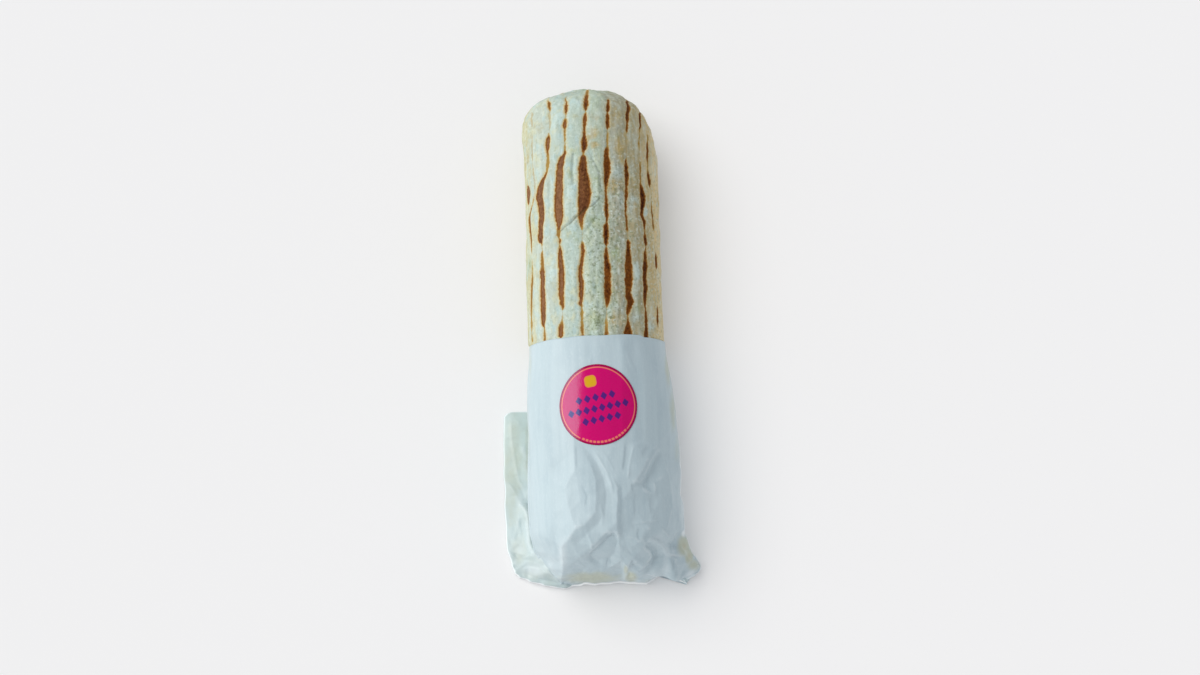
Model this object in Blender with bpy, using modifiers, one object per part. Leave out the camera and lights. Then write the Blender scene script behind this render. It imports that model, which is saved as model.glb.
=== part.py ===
"""A toasted falafel wrap, its lower half in a white paper bag, lying on a table.

The wrap is a flatbread roll with tucked ends. The bag is a flat paper tube: it holds the
lower half of the roll, is folded over the roll's lower end, and its flattened tail lies
folded back under the roll, where it shows on the left. A round label is stuck on the bag.

Metres, +Z up. The roll lies along Y, its bare end at +Y, and the table is the plane Z = 0.
The origin is the centre of the object's bounding box, at the table.
"""

from math import cos, pi, radians, sin

import bmesh
import bpy
from mathutils import Vector

MM = 0.001

# Driving dimensions
ROLL_WIDTH = 64.4 * MM
ROLL_HEIGHT = 57.6 * MM
ROLL_TIP_Y = 119.5 * MM
BAG_FOLD_Y = -119.5 * MM
BAG_MOUTH_Y = -4.5 * MM
TAIL_END_Y = -33.5 * MM
TAIL_LEFT_X = -48.5 * MM
EAR_RIGHT_X = 46.8 * MM
LABEL_DIAMETER = 38.0 * MM
LABEL_CENTRE_Y = -36.0 * MM

# Thicknesses and gaps
BAG_WALL = 0.8 * MM
TAIL_THICKNESS = 1.8 * MM
LABEL_THICKNESS = 0.3 * MM
GAP = 0.3 * MM
TAIL_STEP = 14.0 * MM  # the length in which roll and bag climb onto the tail's far edge

# The roll: how far its rounded ends reach in, and where its buried end is
TIP_ROUNDING = 24.0 * MM
BURIED_END_Y = -108.5 * MM
BURIED_ROUNDING = 20.0 * MM
ROLL_SQUARENESS = 2.08  # 2 is an ellipse, more is squarer
ROLL_SAG = 2.2 * MM  # how much of the round underside the table has pressed flat
ROLL_SWELL = 0.6 * MM  # how far the filling pushes the bare bread out or lets it sink in

SEGMENTS = 48  # points round every section

WHITE_PAPER = (0.74, 0.84, 0.87)
TOASTED_BREAD = (0.62, 0.60, 0.44)
MAGENTA = (0.55, 0.01, 0.18)


def smooth_step(low, high, value):
    """0 below low, 1 above high, and an S curve between them."""
    t = min(1.0, max(0.0, (value - low) / (high - low)))
    return t * t * (3.0 - 2.0 * t)


def along(stations, y):
    """Reads a list of (y, value) pairs, y falling, with an S curve between neighbours."""
    if y >= stations[0][0]:
        return stations[0][1]
    for (y_a, value_a), (y_b, value_b) in zip(stations, stations[1:]):
        if y >= y_b:
            return value_a + (value_b - value_a) * smooth_step(0.0, y_a - y_b, y_a - y)
    return stations[-1][1]


def section(y, left, right, top, bottom, side_z, upper_power, lower_power):
    """One closed section in the plane y: four quarters of a superellipse that meet at the
    top, right, bottom and left. Power 2 is round, 1 is straight like a tent, more is boxy."""
    ring = []
    for i in range(SEGMENTS):
        angle = 2.0 * pi * i / SEGMENTS
        s, c = sin(angle), cos(angle)
        power = upper_power if c > 0.0 else lower_power
        reach = abs(s) ** (2.0 / power)
        rise = abs(c) ** (2.0 / power)
        x = right * reach if s > 0.0 else -left * reach
        z = side_z + (top - side_z) * rise if c > 0.0 else side_z - (side_z - bottom) * rise
        ring.append(Vector((x, y, z)))
    return ring


def roll_underside(y):
    """Height of the roll's underside: on the table, then on the bag, then on bag and tail."""
    on_bag = BAG_WALL + GAP
    on_tail = TAIL_THICKNESS - GAP + BAG_WALL + GAP
    return along(
        [
            (BAG_MOUTH_Y + 22.0 * MM, 0.0),
            (BAG_MOUTH_Y + 1.0 * MM, on_bag),
            (TAIL_END_Y + TAIL_STEP, on_bag),
            (TAIL_END_Y + 1.0 * MM, on_tail),
        ],
        y,
    )


def roll_shrink(y):
    """How far the section has closed at y: 1 along the roll, 0 at its two rounded ends."""
    if y > ROLL_TIP_Y - TIP_ROUNDING:
        t = (y - (ROLL_TIP_Y - TIP_ROUNDING)) / TIP_ROUNDING
        return max(0.0, 1.0 - t**2.15) ** (1.0 / 2.15)
    if y < BURIED_END_Y + BURIED_ROUNDING:
        t = (BURIED_END_Y + BURIED_ROUNDING - y) / BURIED_ROUNDING
        return max(0.0, 1.0 - t**2.3) ** (1.0 / 2.3)
    return 1.0


def roll_swell(angle, y):
    """How far the bare bread stands out from the plain section: broad lumps, none in the bag."""
    lumps = sin(2.0 * angle + y / (21.0 * MM)) + 0.8 * sin(3.0 * angle - y / (13.0 * MM) + 1.2)
    bare = smooth_step(BAG_MOUTH_Y + 2.0 * MM, BAG_MOUTH_Y + 26.0 * MM, y)
    return ROLL_SWELL * 0.6 * lumps * bare * roll_shrink(y)


def roll_section(y, offset=0.0):
    """The roll's section at y, grown outwards by offset, its underside pressed flat."""
    half = (ROLL_WIDTH / 2.0) * roll_shrink(y) + offset
    middle_z = ROLL_HEIGHT / 2.0
    up = (ROLL_HEIGHT - middle_z) * roll_shrink(y) + offset
    down = (middle_z - roll_underside(y) + ROLL_SAG) * roll_shrink(y) + offset
    ring = section(
        y, half, half, middle_z + up, middle_z - down, middle_z, ROLL_SQUARENESS, ROLL_SQUARENESS
    )
    floor_z = roll_underside(y) - offset
    for i, point in enumerate(ring):
        angle = 2.0 * pi * i / SEGMENTS
        swell = roll_swell(angle, y)
        point.x += swell * sin(angle)
        point.z = max(point.z + swell * cos(angle), floor_z)
    return ring


# The bag's outside, station by station, as (y, value): where it leaves the roll's shape it
# widens towards the fold, its widest line sinks to the table and its roof turns to a tent.
BAG_LEFT = [
    (-6.0 * MM, 33.5 * MM),
    (-40.0 * MM, 34.6 * MM),
    (-94.0 * MM, 36.0 * MM),
    (-103.0 * MM, 41.0 * MM),
    (-111.0 * MM, 45.5 * MM),
    (-119.5 * MM, 38.0 * MM),
]
BAG_RIGHT = [
    (-6.0 * MM, 33.5 * MM),
    (-40.0 * MM, 36.4 * MM),
    (-92.0 * MM, 38.6 * MM),
    (-103.0 * MM, 42.0 * MM),
    (-114.0 * MM, EAR_RIGHT_X),
    (-119.5 * MM, 40.0 * MM),
]
BAG_SIDE_Z = [
    (-6.0 * MM, 28.8 * MM),
    (-60.0 * MM, 28.0 * MM),
    (-92.0 * MM, 23.0 * MM),
    (-106.0 * MM, 8.0 * MM),
    (-119.5 * MM, 2.4 * MM),
]
BAG_ROOF_POWER = [
    (-6.0 * MM, ROLL_SQUARENESS),
    (-92.0 * MM, 2.1),
    (-108.0 * MM, 1.5),
    (-119.5 * MM, 1.9),
]
BAG_ROOF_SHOULDER_Y = -90.0 * MM  # from here the roof curves down to the fold
BAG_FOLD_HEIGHT = 4.5 * MM


# The paper's main folds on the roof: (x, y) of both ends, the ridge's height and half width
BAG_FOLDS = [
    ((-12.0, -63.0), (-13.0, -76.0), 0.9, 6.0),
    ((-13.0, -76.0), (-19.0, -116.0), 1.3, 7.0),
    ((-1.0, -63.0), (6.5, -80.0), 1.2, 6.0),
    ((6.5, -80.0), (5.5, -116.0), 1.5, 7.0),
    ((14.0, -62.0), (12.0, -73.0), 0.8, 5.0),
    ((13.0, -91.5), (27.0, -90.0), 0.9, 5.0),
    ((22.0, -96.0), (31.0, -116.0), 1.6, 6.0),
    ((-32.0, -95.0), (-22.0, -116.0), 1.6, 6.0),
]


def fold_height(x, y):
    """How far the ridges lift the paper at (x, y): each is a tent along its line, and where
    two meet the higher one counts."""
    highest = 0.0
    for (start_x, start_y), (end_x, end_y), height, half_width in BAG_FOLDS:
        start = Vector((start_x, start_y)) * MM
        line = Vector((end_x, end_y)) * MM - start
        along_line = (Vector((x, y)) - start).dot(line) / line.length_squared
        nearest = start + line * min(1.0, max(0.0, along_line))
        distance = (Vector((x, y)) - nearest).length
        highest = max(highest, height * MM * (1.0 - distance / (half_width * MM)))
    return highest


def bag_top(y):
    """Height of the bag's roof along its middle: level over the roll, then a round
    shoulder down to the fold."""
    level = ROLL_HEIGHT + 1.1 * MM
    t = max(0.0, (BAG_ROOF_SHOULDER_Y - y) / (BAG_ROOF_SHOULDER_Y - BAG_FOLD_Y))
    return BAG_FOLD_HEIGHT + (level - BAG_FOLD_HEIGHT) * max(0.0, 1.0 - t**2.7) ** (1.0 / 2.0)


def bag_underside(y):
    """Height of the bag's underside: on the table at the mouth, then sunk into the tail."""
    return along([(TAIL_END_Y + TAIL_STEP, 0.0), (TAIL_END_Y + 1.0 * MM, TAIL_THICKNESS - GAP)], y)


def bag_section(y):
    """The bag's outer section at y."""
    ring = section(
        y,
        along(BAG_LEFT, y),
        along(BAG_RIGHT, y),
        bag_top(y),
        bag_underside(y) - ROLL_SAG * smooth_step(-112.0 * MM, -84.0 * MM, y),
        along(BAG_SIDE_Z, y),
        along(BAG_ROOF_POWER, y),
        ROLL_SQUARENESS,
    )
    for point in ring:
        if point.z > along(BAG_SIDE_Z, y):
            point.z += fold_height(point.x, y)
        point.z = max(point.z, bag_underside(y))
    return ring


def paint(obj, colour, roughness):
    """Gives the object a material of its own."""
    material = bpy.data.materials.new(obj.name)
    material.use_nodes = True
    shader = material.node_tree.nodes["Principled BSDF"]
    shader.inputs["Base Color"].default_value = (*colour, 1.0)
    shader.inputs["Roughness"].default_value = roughness
    material.diffuse_color = (*colour, 1.0)
    obj.data.materials.clear()
    obj.data.materials.append(material)


def add_object(name, mesh, collection):
    obj = bpy.data.objects.new(name, mesh)
    collection.objects.link(obj)
    return obj


def loft(name, rings, collection):
    """A closed body whose skin runs through unlike rings, with a flat cap at each end."""
    bm = bmesh.new()
    loops = [[bm.verts.new(point) for point in ring] for ring in rings]
    for near, far in zip(loops, loops[1:]):
        for i in range(SEGMENTS):
            j = (i + 1) % SEGMENTS
            bm.faces.new((near[i], near[j], far[j], far[i]))
    bm.faces.new(reversed(loops[0]))
    bm.faces.new(loops[-1])
    bmesh.ops.recalc_face_normals(bm, faces=bm.faces)
    mesh = bpy.data.meshes.new(name)
    bm.to_mesh(mesh)
    bm.free()
    mesh.shade_smooth()
    mesh.set_sharp_from_angle(angle=radians(40.0))
    return add_object(name, mesh, collection)


def spread(first, last, count):
    """count numbers from first to last, evenly apart."""
    return [first + (last - first) * i / (count - 1) for i in range(count)]


def rounded_end(end_y, inner_y, count):
    """Stations of a rounded end, closer together towards the tip, without the tip itself."""
    reach = end_y - inner_y
    return [inner_y + reach * sin(0.5 * pi * 0.97 * i / count) for i in range(1, count + 1)]


def roll_stations():
    tip = rounded_end(ROLL_TIP_Y, ROLL_TIP_Y - TIP_ROUNDING, 9)
    buried = rounded_end(BURIED_END_Y, BURIED_END_Y + BURIED_ROUNDING, 5)
    bare = spread(ROLL_TIP_Y - TIP_ROUNDING, BAG_MOUTH_Y + 1.0 * MM, 12)
    onto_tail = spread(TAIL_END_Y + TAIL_STEP, TAIL_END_Y + 1.0 * MM, 4)
    inside = spread(TAIL_END_Y - 9.0 * MM, BURIED_END_Y + BURIED_ROUNDING, 5)
    return tip[::-1] + bare + onto_tail + inside + buried


def make_roll(collection):
    """The flatbread roll, filling and all, shut at both ends."""
    roll = loft("flatbread_roll", [roll_section(y) for y in roll_stations()], collection)
    paint(roll, TOASTED_BREAD, 0.8)
    return roll


def make_bag(collection, helpers):
    """The paper bag: one skin from the fold out to the mouth and back in round the roll,
    joined to the flattened tail that lies under it."""
    outside = spread(BAG_FOLD_Y, -94.0 * MM, 11) + spread(-90.0 * MM, -58.0 * MM, 9)
    outside += [-50.0 * MM, TAIL_END_Y - 9.0 * MM]
    outside += spread(TAIL_END_Y + 1.0 * MM, TAIL_END_Y + TAIL_STEP, 4) + [-16.0 * MM, BAG_MOUTH_Y]
    inside = [y for y in roll_stations() if y < BAG_MOUTH_Y - 1.0 * MM]
    rings = [bag_section(y) for y in outside]
    rings += [roll_section(y, GAP) for y in [BAG_MOUTH_Y] + inside]
    bag = loft("paper_bag", rings, collection)
    tail = make_tail(helpers)
    join = bag.modifiers.new("tail", "BOOLEAN")
    join.operation = "UNION"
    join.solver = "EXACT"
    join.object = tail
    paint(bag, WHITE_PAPER, 0.5)
    return bag


def make_tail(collection):
    """The bag's tail, pressed flat and folded back under the roll: a flat outline with
    rounded far corners, given its thickness."""
    corner = 5.0 * MM
    far_right_x = 33.0 * MM
    points = [
        (TAIL_LEFT_X + 6.5 * MM, -114.5 * MM),
        (-21.0 * MM, BAG_FOLD_Y),
        (6.0 * MM, -118.8 * MM),
        (30.0 * MM, -117.2 * MM),
        (44.5 * MM, -112.5 * MM),
        (36.0 * MM, -92.0 * MM),
    ]
    for centre_x, start in ((far_right_x - corner, 0.0), (TAIL_LEFT_X + corner, 0.5 * pi)):
        for angle in spread(start, start + 0.5 * pi, 5):
            points.append((centre_x + corner * cos(angle), TAIL_END_Y - corner + corner * sin(angle)))
    points.append((TAIL_LEFT_X, -70.0 * MM))
    points.append((TAIL_LEFT_X + 1.0 * MM, -106.0 * MM))
    bm = bmesh.new()
    outline = bm.faces.new([bm.verts.new((x, y, 0.0)) for x, y in points])
    grown = bmesh.ops.extrude_face_region(bm, geom=[outline])["geom"]
    lifted = [item for item in grown if isinstance(item, bmesh.types.BMVert)]
    bmesh.ops.translate(bm, vec=(0.0, 0.0, TAIL_THICKNESS), verts=lifted)
    bmesh.ops.recalc_face_normals(bm, faces=bm.faces)
    mesh = bpy.data.meshes.new("tail_cutter")
    bm.to_mesh(mesh)
    bm.free()
    tail = add_object("tail_cutter", mesh, collection)
    tail.hide_render = True
    tail.display_type = "WIRE"
    return tail


def bag_surface(across, y):
    """The point on the bag's roof that lies across (an arc length, + to the right) from its
    top line at y, and the outward direction there."""
    ring = bag_section(y)
    quarter = SEGMENTS // 4
    side = ring[: quarter + 1] if across >= 0.0 else [ring[-i] for i in range(quarter + 1)]
    left_to_go = abs(across)
    for a, b in zip(side, side[1:]):
        step = (b - a).length
        if left_to_go <= step:
            tangent = (b - a).normalized()
            outward = Vector((-tangent.z, 0.0, tangent.x))
            return a + tangent * left_to_go, outward if outward.z > 0.0 else -outward
        left_to_go -= step
    return side[-1], Vector((1.0, 0.0, 0.0))


def make_label(collection):
    """The round label: a disc of rings spun from one spoke, bent onto the bag's roof."""
    rings, spokes = 5, 40
    radius = LABEL_DIAMETER / 2.0
    bm = bmesh.new()
    line = [bm.verts.new((radius * i / rings, 0.0, 0.0)) for i in range(rings + 1)]
    edges = [bm.edges.new(pair) for pair in zip(line, line[1:])]
    bmesh.ops.spin(
        bm, geom=line + edges, axis=(0, 0, 1), cent=(0, 0, 0), steps=spokes, angle=2.0 * pi
    )
    bmesh.ops.remove_doubles(bm, verts=bm.verts, dist=0.05 * MM)
    for vert in bm.verts:
        point, outward = bag_surface(vert.co.x, LABEL_CENTRE_Y + vert.co.y)
        vert.co = point + outward * (GAP + 0.1 * MM)
    bmesh.ops.recalc_face_normals(bm, faces=bm.faces)
    if sum((face.normal.z for face in bm.faces)) < 0.0:
        bmesh.ops.reverse_faces(bm, faces=bm.faces)
    mesh = bpy.data.meshes.new("round_label")
    bm.to_mesh(mesh)
    bm.free()
    mesh.shade_smooth()
    label = add_object("round_label", mesh, collection)
    thicken = label.modifiers.new("thickness", "SOLIDIFY")
    thicken.thickness = LABEL_THICKNESS
    thicken.offset = 1.0
    paint(label, MAGENTA, 0.3)
    return label


def main():
    for obj in list(bpy.data.objects):
        bpy.data.objects.remove(obj)
    wrap = bpy.data.collections.new("falafel_wrap")
    cutters = bpy.data.collections.new("cutters")
    bpy.context.scene.collection.children.link(wrap)
    bpy.context.scene.collection.children.link(cutters)
    make_roll(wrap)
    make_bag(wrap, cutters)
    make_label(wrap)


main()
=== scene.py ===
import math

import bpy
import numpy as np
from mathutils import Matrix, Vector, geometry


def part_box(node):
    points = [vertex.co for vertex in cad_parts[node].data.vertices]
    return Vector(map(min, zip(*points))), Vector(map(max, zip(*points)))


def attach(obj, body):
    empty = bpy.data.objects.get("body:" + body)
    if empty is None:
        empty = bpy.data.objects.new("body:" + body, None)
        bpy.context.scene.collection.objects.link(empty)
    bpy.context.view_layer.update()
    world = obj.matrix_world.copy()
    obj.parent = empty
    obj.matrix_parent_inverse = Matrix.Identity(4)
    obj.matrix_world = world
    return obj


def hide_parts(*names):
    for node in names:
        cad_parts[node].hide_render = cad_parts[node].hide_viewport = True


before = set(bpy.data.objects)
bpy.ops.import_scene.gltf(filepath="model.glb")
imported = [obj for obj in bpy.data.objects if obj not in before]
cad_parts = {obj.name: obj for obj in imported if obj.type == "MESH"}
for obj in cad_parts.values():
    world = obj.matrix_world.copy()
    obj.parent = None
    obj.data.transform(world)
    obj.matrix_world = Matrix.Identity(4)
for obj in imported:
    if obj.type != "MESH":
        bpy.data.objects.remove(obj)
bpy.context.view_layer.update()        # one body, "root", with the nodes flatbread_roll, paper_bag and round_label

# A toasted wrap, half in its paper bag. Every shape below is worked out in millimetres, in the
# frame's own axes: the roll lies along Y, its bare end at +Y, on the table at Z = 0.
mm = 0.001
rollBox = [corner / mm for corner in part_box("flatbread_roll")]
bagBox = [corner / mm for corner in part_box("paper_bag")]


# S curve between two limits: 0 below, 1 above, and 3t^2 - 2t^3 between them.
def smoothStep(low, high, value):
    t = np.clip((value - low) / (high - low), 0.0, 1.0)
    return t * t * (3.0 - 2.0 * t)


# Reads (position, value) stations at every place, with an S curve between neighbours.
def along(stations, place):
    places, values = np.array(sorted(stations), float).T
    place = np.clip(place, places[0], places[-1])
    k = np.clip(np.searchsorted(places, place, side="right") - 1, 0, len(places) - 2)
    return values[k] + (values[k + 1] - values[k]) * smoothStep(places[k], places[k + 1], place)


# Smooth noise from -1 to 1: random values on a cubic lattice of that size, blended inside each cell.
def latticeNoise(points, size, seed):
    points = np.asarray(points, float) / size
    cell = np.floor(points).astype(np.int64)
    part = points - cell
    part = part * part * (3.0 - 2.0 * part)
    total = np.zeros(points.shape[:-1])
    for corner in range(8):
        step = np.array([corner & 1, corner >> 1 & 1, corner >> 2 & 1])
        ix, iy, iz = np.moveaxis(cell + step, -1, 0)
        mixed = ix * 73856093 ^ iy * 19349663 ^ iz * 83492791 ^ seed * 2654435761
        mixed = (mixed ^ mixed >> 13) * 1274126177 & 0x7FFFFFFF
        value = (mixed >> 8) % 65536 / 32767.5 - 1.0
        total += value * np.prod(np.where(step == 1, part, 1.0 - part), axis=-1)
    return total


# Lattice noise summed over octaves, each half the size and half the height of the last.
def layeredNoise(points, size, seed, octaves=3):
    return sum(latticeNoise(points, size / 2**k, seed + 17 * k) / 2**k for k in range(octaves))


# Signed distance to a line of corners on a flat sheet (across, y), and how far along the line
# the nearest point is, from 0 to 1.
def polylineDistance(across, y, corners):
    best, side, place = np.full(across.shape, 1e9), np.zeros(across.shape), np.zeros(across.shape)
    for k in range(len(corners) - 1):
        (ax, ay), (bx, by) = corners[k], corners[k + 1]
        dx, dy = bx - ax, by - ay
        t = np.clip(((across - ax) * dx + (y - ay) * dy) / (dx * dx + dy * dy), 0.0, 1.0)
        away = np.hypot(across - ax - t * dx, y - ay - t * dy)
        nearer = away < best
        side = np.where(nearer, np.sign(dx * (y - ay) - dy * (across - ax)), side)
        place = np.where(nearer, (k + t) / (len(corners) - 1), place)
        best = np.minimum(best, away)
    return best * side, place


# How strongly spots of one kind lie on every point: strength times exp(-r^2), with r in
# reaches from each spot's middle.
def spotField(spots, column, row):
    field = np.zeros(column.shape)
    for x, y, across, down, strength in spots:
        squared = ((column - x) / across) ** 2 + ((row - y) / down) ** 2
        field = np.maximum(field, strength * np.exp(-squared))
    return field


# Triangles between scattered corners, which keep the given edges. Where two edges cross there
# is a new corner, of the spare height.
def joinCorners(corners, heights, edges, spare):
    made = geometry.delaunay_2d_cdt([Vector(c) for c in corners], edges, [], 0, 1e-5)
    heights = [heights[group[0]] if group else spare for group in made[3]]
    return np.array(made[0])[:, :2], np.array(heights), np.array(made[2])


# Blends values given at a map's corners over a grid whose rows each keep one length: every
# point takes the plane of the triangle that holds it, by its shares of the three corners.
def overFacets(corners, triangles, values, across, length):
    result = np.zeros(across.shape + values.shape[1:])
    for triangle in triangles:
        (ax, ay), (bx, by), (cx, cy) = corners[triangle]
        whole = (bx - ax) * (cy - ay) - (cx - ax) * (by - ay)
        limits = [min(ay, by, cy) - 1e-6, max(ay, by, cy) + 1e-6]
        span = slice(*np.searchsorted(length[:, 0], limits))
        x, y = across[span] - ax, length[span] - ay
        wb = (x * (cy - ay) - (cx - ax) * y) / whole
        wc = ((bx - ax) * y - x * (by - ay)) / whole
        inside = (wb >= -1e-9) & (wc >= -1e-9) & (wb + wc <= 1 + 1e-9)
        result[span][inside] = np.stack([1 - wb - wc, wb, wc], -1)[inside] @ values[triangle]
    return result


# Angles round a section, from under the roll over its top: even steps t, less density times
# sin t, which brings them closer together on top.
def anglesAround(count, density):
    t = -math.pi + 2 * math.pi * np.arange(count) / count
    return t - density * np.sin(t)


# Faces of a closed tube of rings: quads between neighbours, and a fan to one pole at each end.
# The poles are the two points after the last ring.
def tubeFaces(rings, around):
    ring, spoke = np.meshgrid(np.arange(rings - 1), np.arange(around), indexing="ij")
    beside = (spoke + 1) % around
    first, second = ring * around, (ring + 1) * around
    quads = np.stack([first + spoke, second + spoke, second + beside, first + beside], -1)
    spoke = np.arange(around)
    beside = (spoke + 1) % around
    last = (rings - 1) * around
    nearFan = np.stack([np.full(around, rings * around), spoke, beside], -1)
    farFan = np.stack([np.full(around, rings * around + 1), last + beside, last + spoke], -1)
    return quads.reshape(-1, 4).tolist() + nearFan.tolist() + farFan.tolist()


# Makes a piece of the object from a grid of rings in millimetres and its fields on that grid: both ends close in a
# pole, the last one moved by inset along Y, and faces turn outwards. It gets its material and its body, and the
# CAD node that it stands for is hidden. The slot is not used.
def addPiece(name, rings, fields, material, node, slot, inset=0.0):
    poles = [rings[0].mean(0), rings[-1].mean(0) + [0.0, inset, 0.0]]
    points = np.concatenate([rings.reshape(-1, 3), poles])
    faces = tubeFaces(*rings.shape[:2])
    corners = np.array([(f[0], f[k], f[k + 1]) for f in faces for k in range(1, len(f) - 1)])
    if np.linalg.det(points[corners]).sum() < 0.0:
        faces = [f[::-1] for f in faces]
    mesh = bpy.data.meshes.new(name)
    mesh.from_pydata(points * mm, [], faces)
    mesh.shade_smooth()
    for field, values in fields.items():
        values = np.append(np.ravel(values), [values[0].mean(), values[-1].mean()])
        mesh.attributes.new(field, "FLOAT", "POINT").data.foreach_set("value", values)
    mesh.materials.append(material)
    piece = bpy.data.objects.new(name, mesh)
    bpy.context.scene.collection.objects.link(piece)
    bpy.data.collections["wrap"].objects.link(piece)
    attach(piece, "root")
    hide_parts(node)
    print(name, "is made:", len(mesh.vertices), "points,", len(corners), "triangles")


# The linear colour of an sRGB hex value.
def linear(hexColour):
    channels = [int(hexColour[k : k + 2], 16) / 255.0 for k in (1, 3, 5)]
    return [c / 12.92 if c <= 0.04045 else ((c + 0.055) / 1.055) ** 2.4 for c in channels] + [1.0]


# Sets a node's own inputs, by name, each to a number or an sRGB hex colour.
def setInputs(node, values):
    for key, value in values.items():
        node.inputs[key].default_value = linear(value) if isinstance(value, str) else value


# Adds a node: settings are its own properties, links its inputs, by name or number, each a
# value, an sRGB hex colour, another node (its first live output) or one of a node's outputs.
def addNode(material, kind, settings=None, links=None):
    node = material.node_tree.nodes.new("ShaderNode" + kind)
    for key, value in (settings or {}).items():
        setattr(node, key, value)
    for key, value in (links or {}).items():
        if isinstance(value, bpy.types.Node):
            value = next(output for output in value.outputs if output.enabled)
        if isinstance(value, bpy.types.NodeSocket):
            material.node_tree.links.new(value, node.inputs[key])
        else:
            setInputs(node, {key: value})
    return node


# Starts a material, with the mesh fields that it reads and its noises on Object coordinates,
# each given as grain size in mm, detail, and how each axis is stretched.
def startMaterial(name, fields, grains):
    material = bpy.data.materials.new(name)
    material.use_nodes = True
    place = addNode(material, "TexCoord").outputs["Object"]
    field, grain = {}, {}
    for key in fields:
        field[key] = addNode(material, "Attribute", {"attribute_name": key}).outputs["Fac"]
    for key, (size, detail, stretch) in grains.items():
        mapped = addNode(material, "Mapping", None, {"Vector": place, "Scale": stretch})
        links = {"Vector": mapped, "Scale": 1 / (size * mm), "Detail": detail}
        grain[key] = addNode(material, "TexNoise", None, links)
    return material, place, field, grain


# Lays colours over a base, from the bottom up: what steers each, where it starts and is full,
# its most, and its colour. Then the last one, the bump and the surface's own values reach the shader.
def finishMaterial(material, base, layers, bump, surface):
    for steer, low, high, most, colour in layers:
        links = {"Value": steer, "From Min": low, "From Max": high, "To Max": most}
        share = addNode(material, "MapRange", {"interpolation_type": "SMOOTHSTEP"}, links)
        base = addNode(material, "Mix", {"data_type": "RGBA"}, {0: share, 6: base, 7: colour})
    shader = material.node_tree.nodes["Principled BSDF"]
    material.node_tree.links.new(base.outputs[2], shader.inputs["Base Color"])
    material.node_tree.links.new(bump.outputs[0], shader.inputs["Normal"])
    setInputs(shader, surface)
    return material


# The camera looks steeply down on the wrap from the bag's side, turned a little about its axis.
cameraPlace = {
    "lens": 50.0,  # mm
    "sensor": 36.0,  # mm
    "picture": (1200.0, 675.0),  # pixels of the photograph
    "target": (1.5, 2.5, 0.0),  # mm, the point on the table that it looks at
    "distance": 830.0,  # mm
    "elevation": 83.0,  # degrees
    "roll": 2.15,  # degrees, leans the roll's top to the left
    "clip": (0.01, 50.0),  # m
}
pixelsPerMm = 2.15  # of the photograph, at the roll's top


# The camera's place and its right, up and back directions.
def cameraAxes():
    elevation, roll = math.radians(cameraPlace["elevation"]), math.radians(cameraPlace["roll"])
    back = np.array([0.0, -math.cos(elevation), math.sin(elevation)])
    side, top = np.array([1.0, 0.0, 0.0]), np.array([0.0, math.sin(elevation), math.cos(elevation)])
    right = side * math.cos(roll) - top * math.sin(roll)
    up = side * math.sin(roll) + top * math.cos(roll)
    place = np.array(cameraPlace["target"]) + back * cameraPlace["distance"]
    return place, right, up, back


# Directions from the camera through pixels of the photograph.
def photoRays(pixels):
    place, right, up, back = cameraAxes()
    width, height = cameraPlace["picture"]
    focal = cameraPlace["lens"] / cameraPlace["sensor"] * width
    pixels = np.asarray(pixels, float)
    rays = np.outer(pixels[:, 0] - width / 2, right) + np.outer(height / 2 - pixels[:, 1], up)
    return place, rays - back * focal


# The photograph's column and row at which each point shows.
def photoPixels(points):
    place, right, up, back = cameraAxes()
    width, height = cameraPlace["picture"]
    away = points - place
    focal = cameraPlace["lens"] / cameraPlace["sensor"] * width / -(away @ back)
    return width / 2 + focal * (away @ right), height / 2 - focal * (away @ up)


def makeCamera():
    place, right, up, back = cameraAxes()
    data = bpy.data.cameras.new("camera")
    data.lens, data.sensor_width = cameraPlace["lens"], cameraPlace["sensor"]
    data.clip_start, data.clip_end = cameraPlace["clip"]
    camera = bpy.data.objects.new("camera", data)
    turn = Matrix(np.column_stack([right, up, back]).tolist()).to_4x4()
    camera.matrix_world = Matrix.Translation(place * mm) @ turn
    bpy.context.scene.collection.objects.link(camera)
    bpy.context.scene.camera = camera


studio = {
    # two soft windows, one that lights the wrap and one the table: degrees above the table,
    # degrees from +X round towards +Y, degrees across, and W/m2
    "windows": {"wrap": (36.0, 166.0, 56.0, 2.10), "table": (55.0, 141.0, 50.0, 1.66)},
    "windowColour": "#fffcf8",
    "sky": {"Color": "#f8faff", "Strength": 0.575},
    # the table is a dim light box, and its glow keeps the shadow pale
    "table": {
        "Base Color": "#e0e0e0",
        "Roughness": 0.9,
        "Specular IOR Level": 0.1,
        "Emission Color": "#ffffff",
        "Emission Strength": 0.15,
    },
    "tableSize": 8.0,  # m
}


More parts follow.
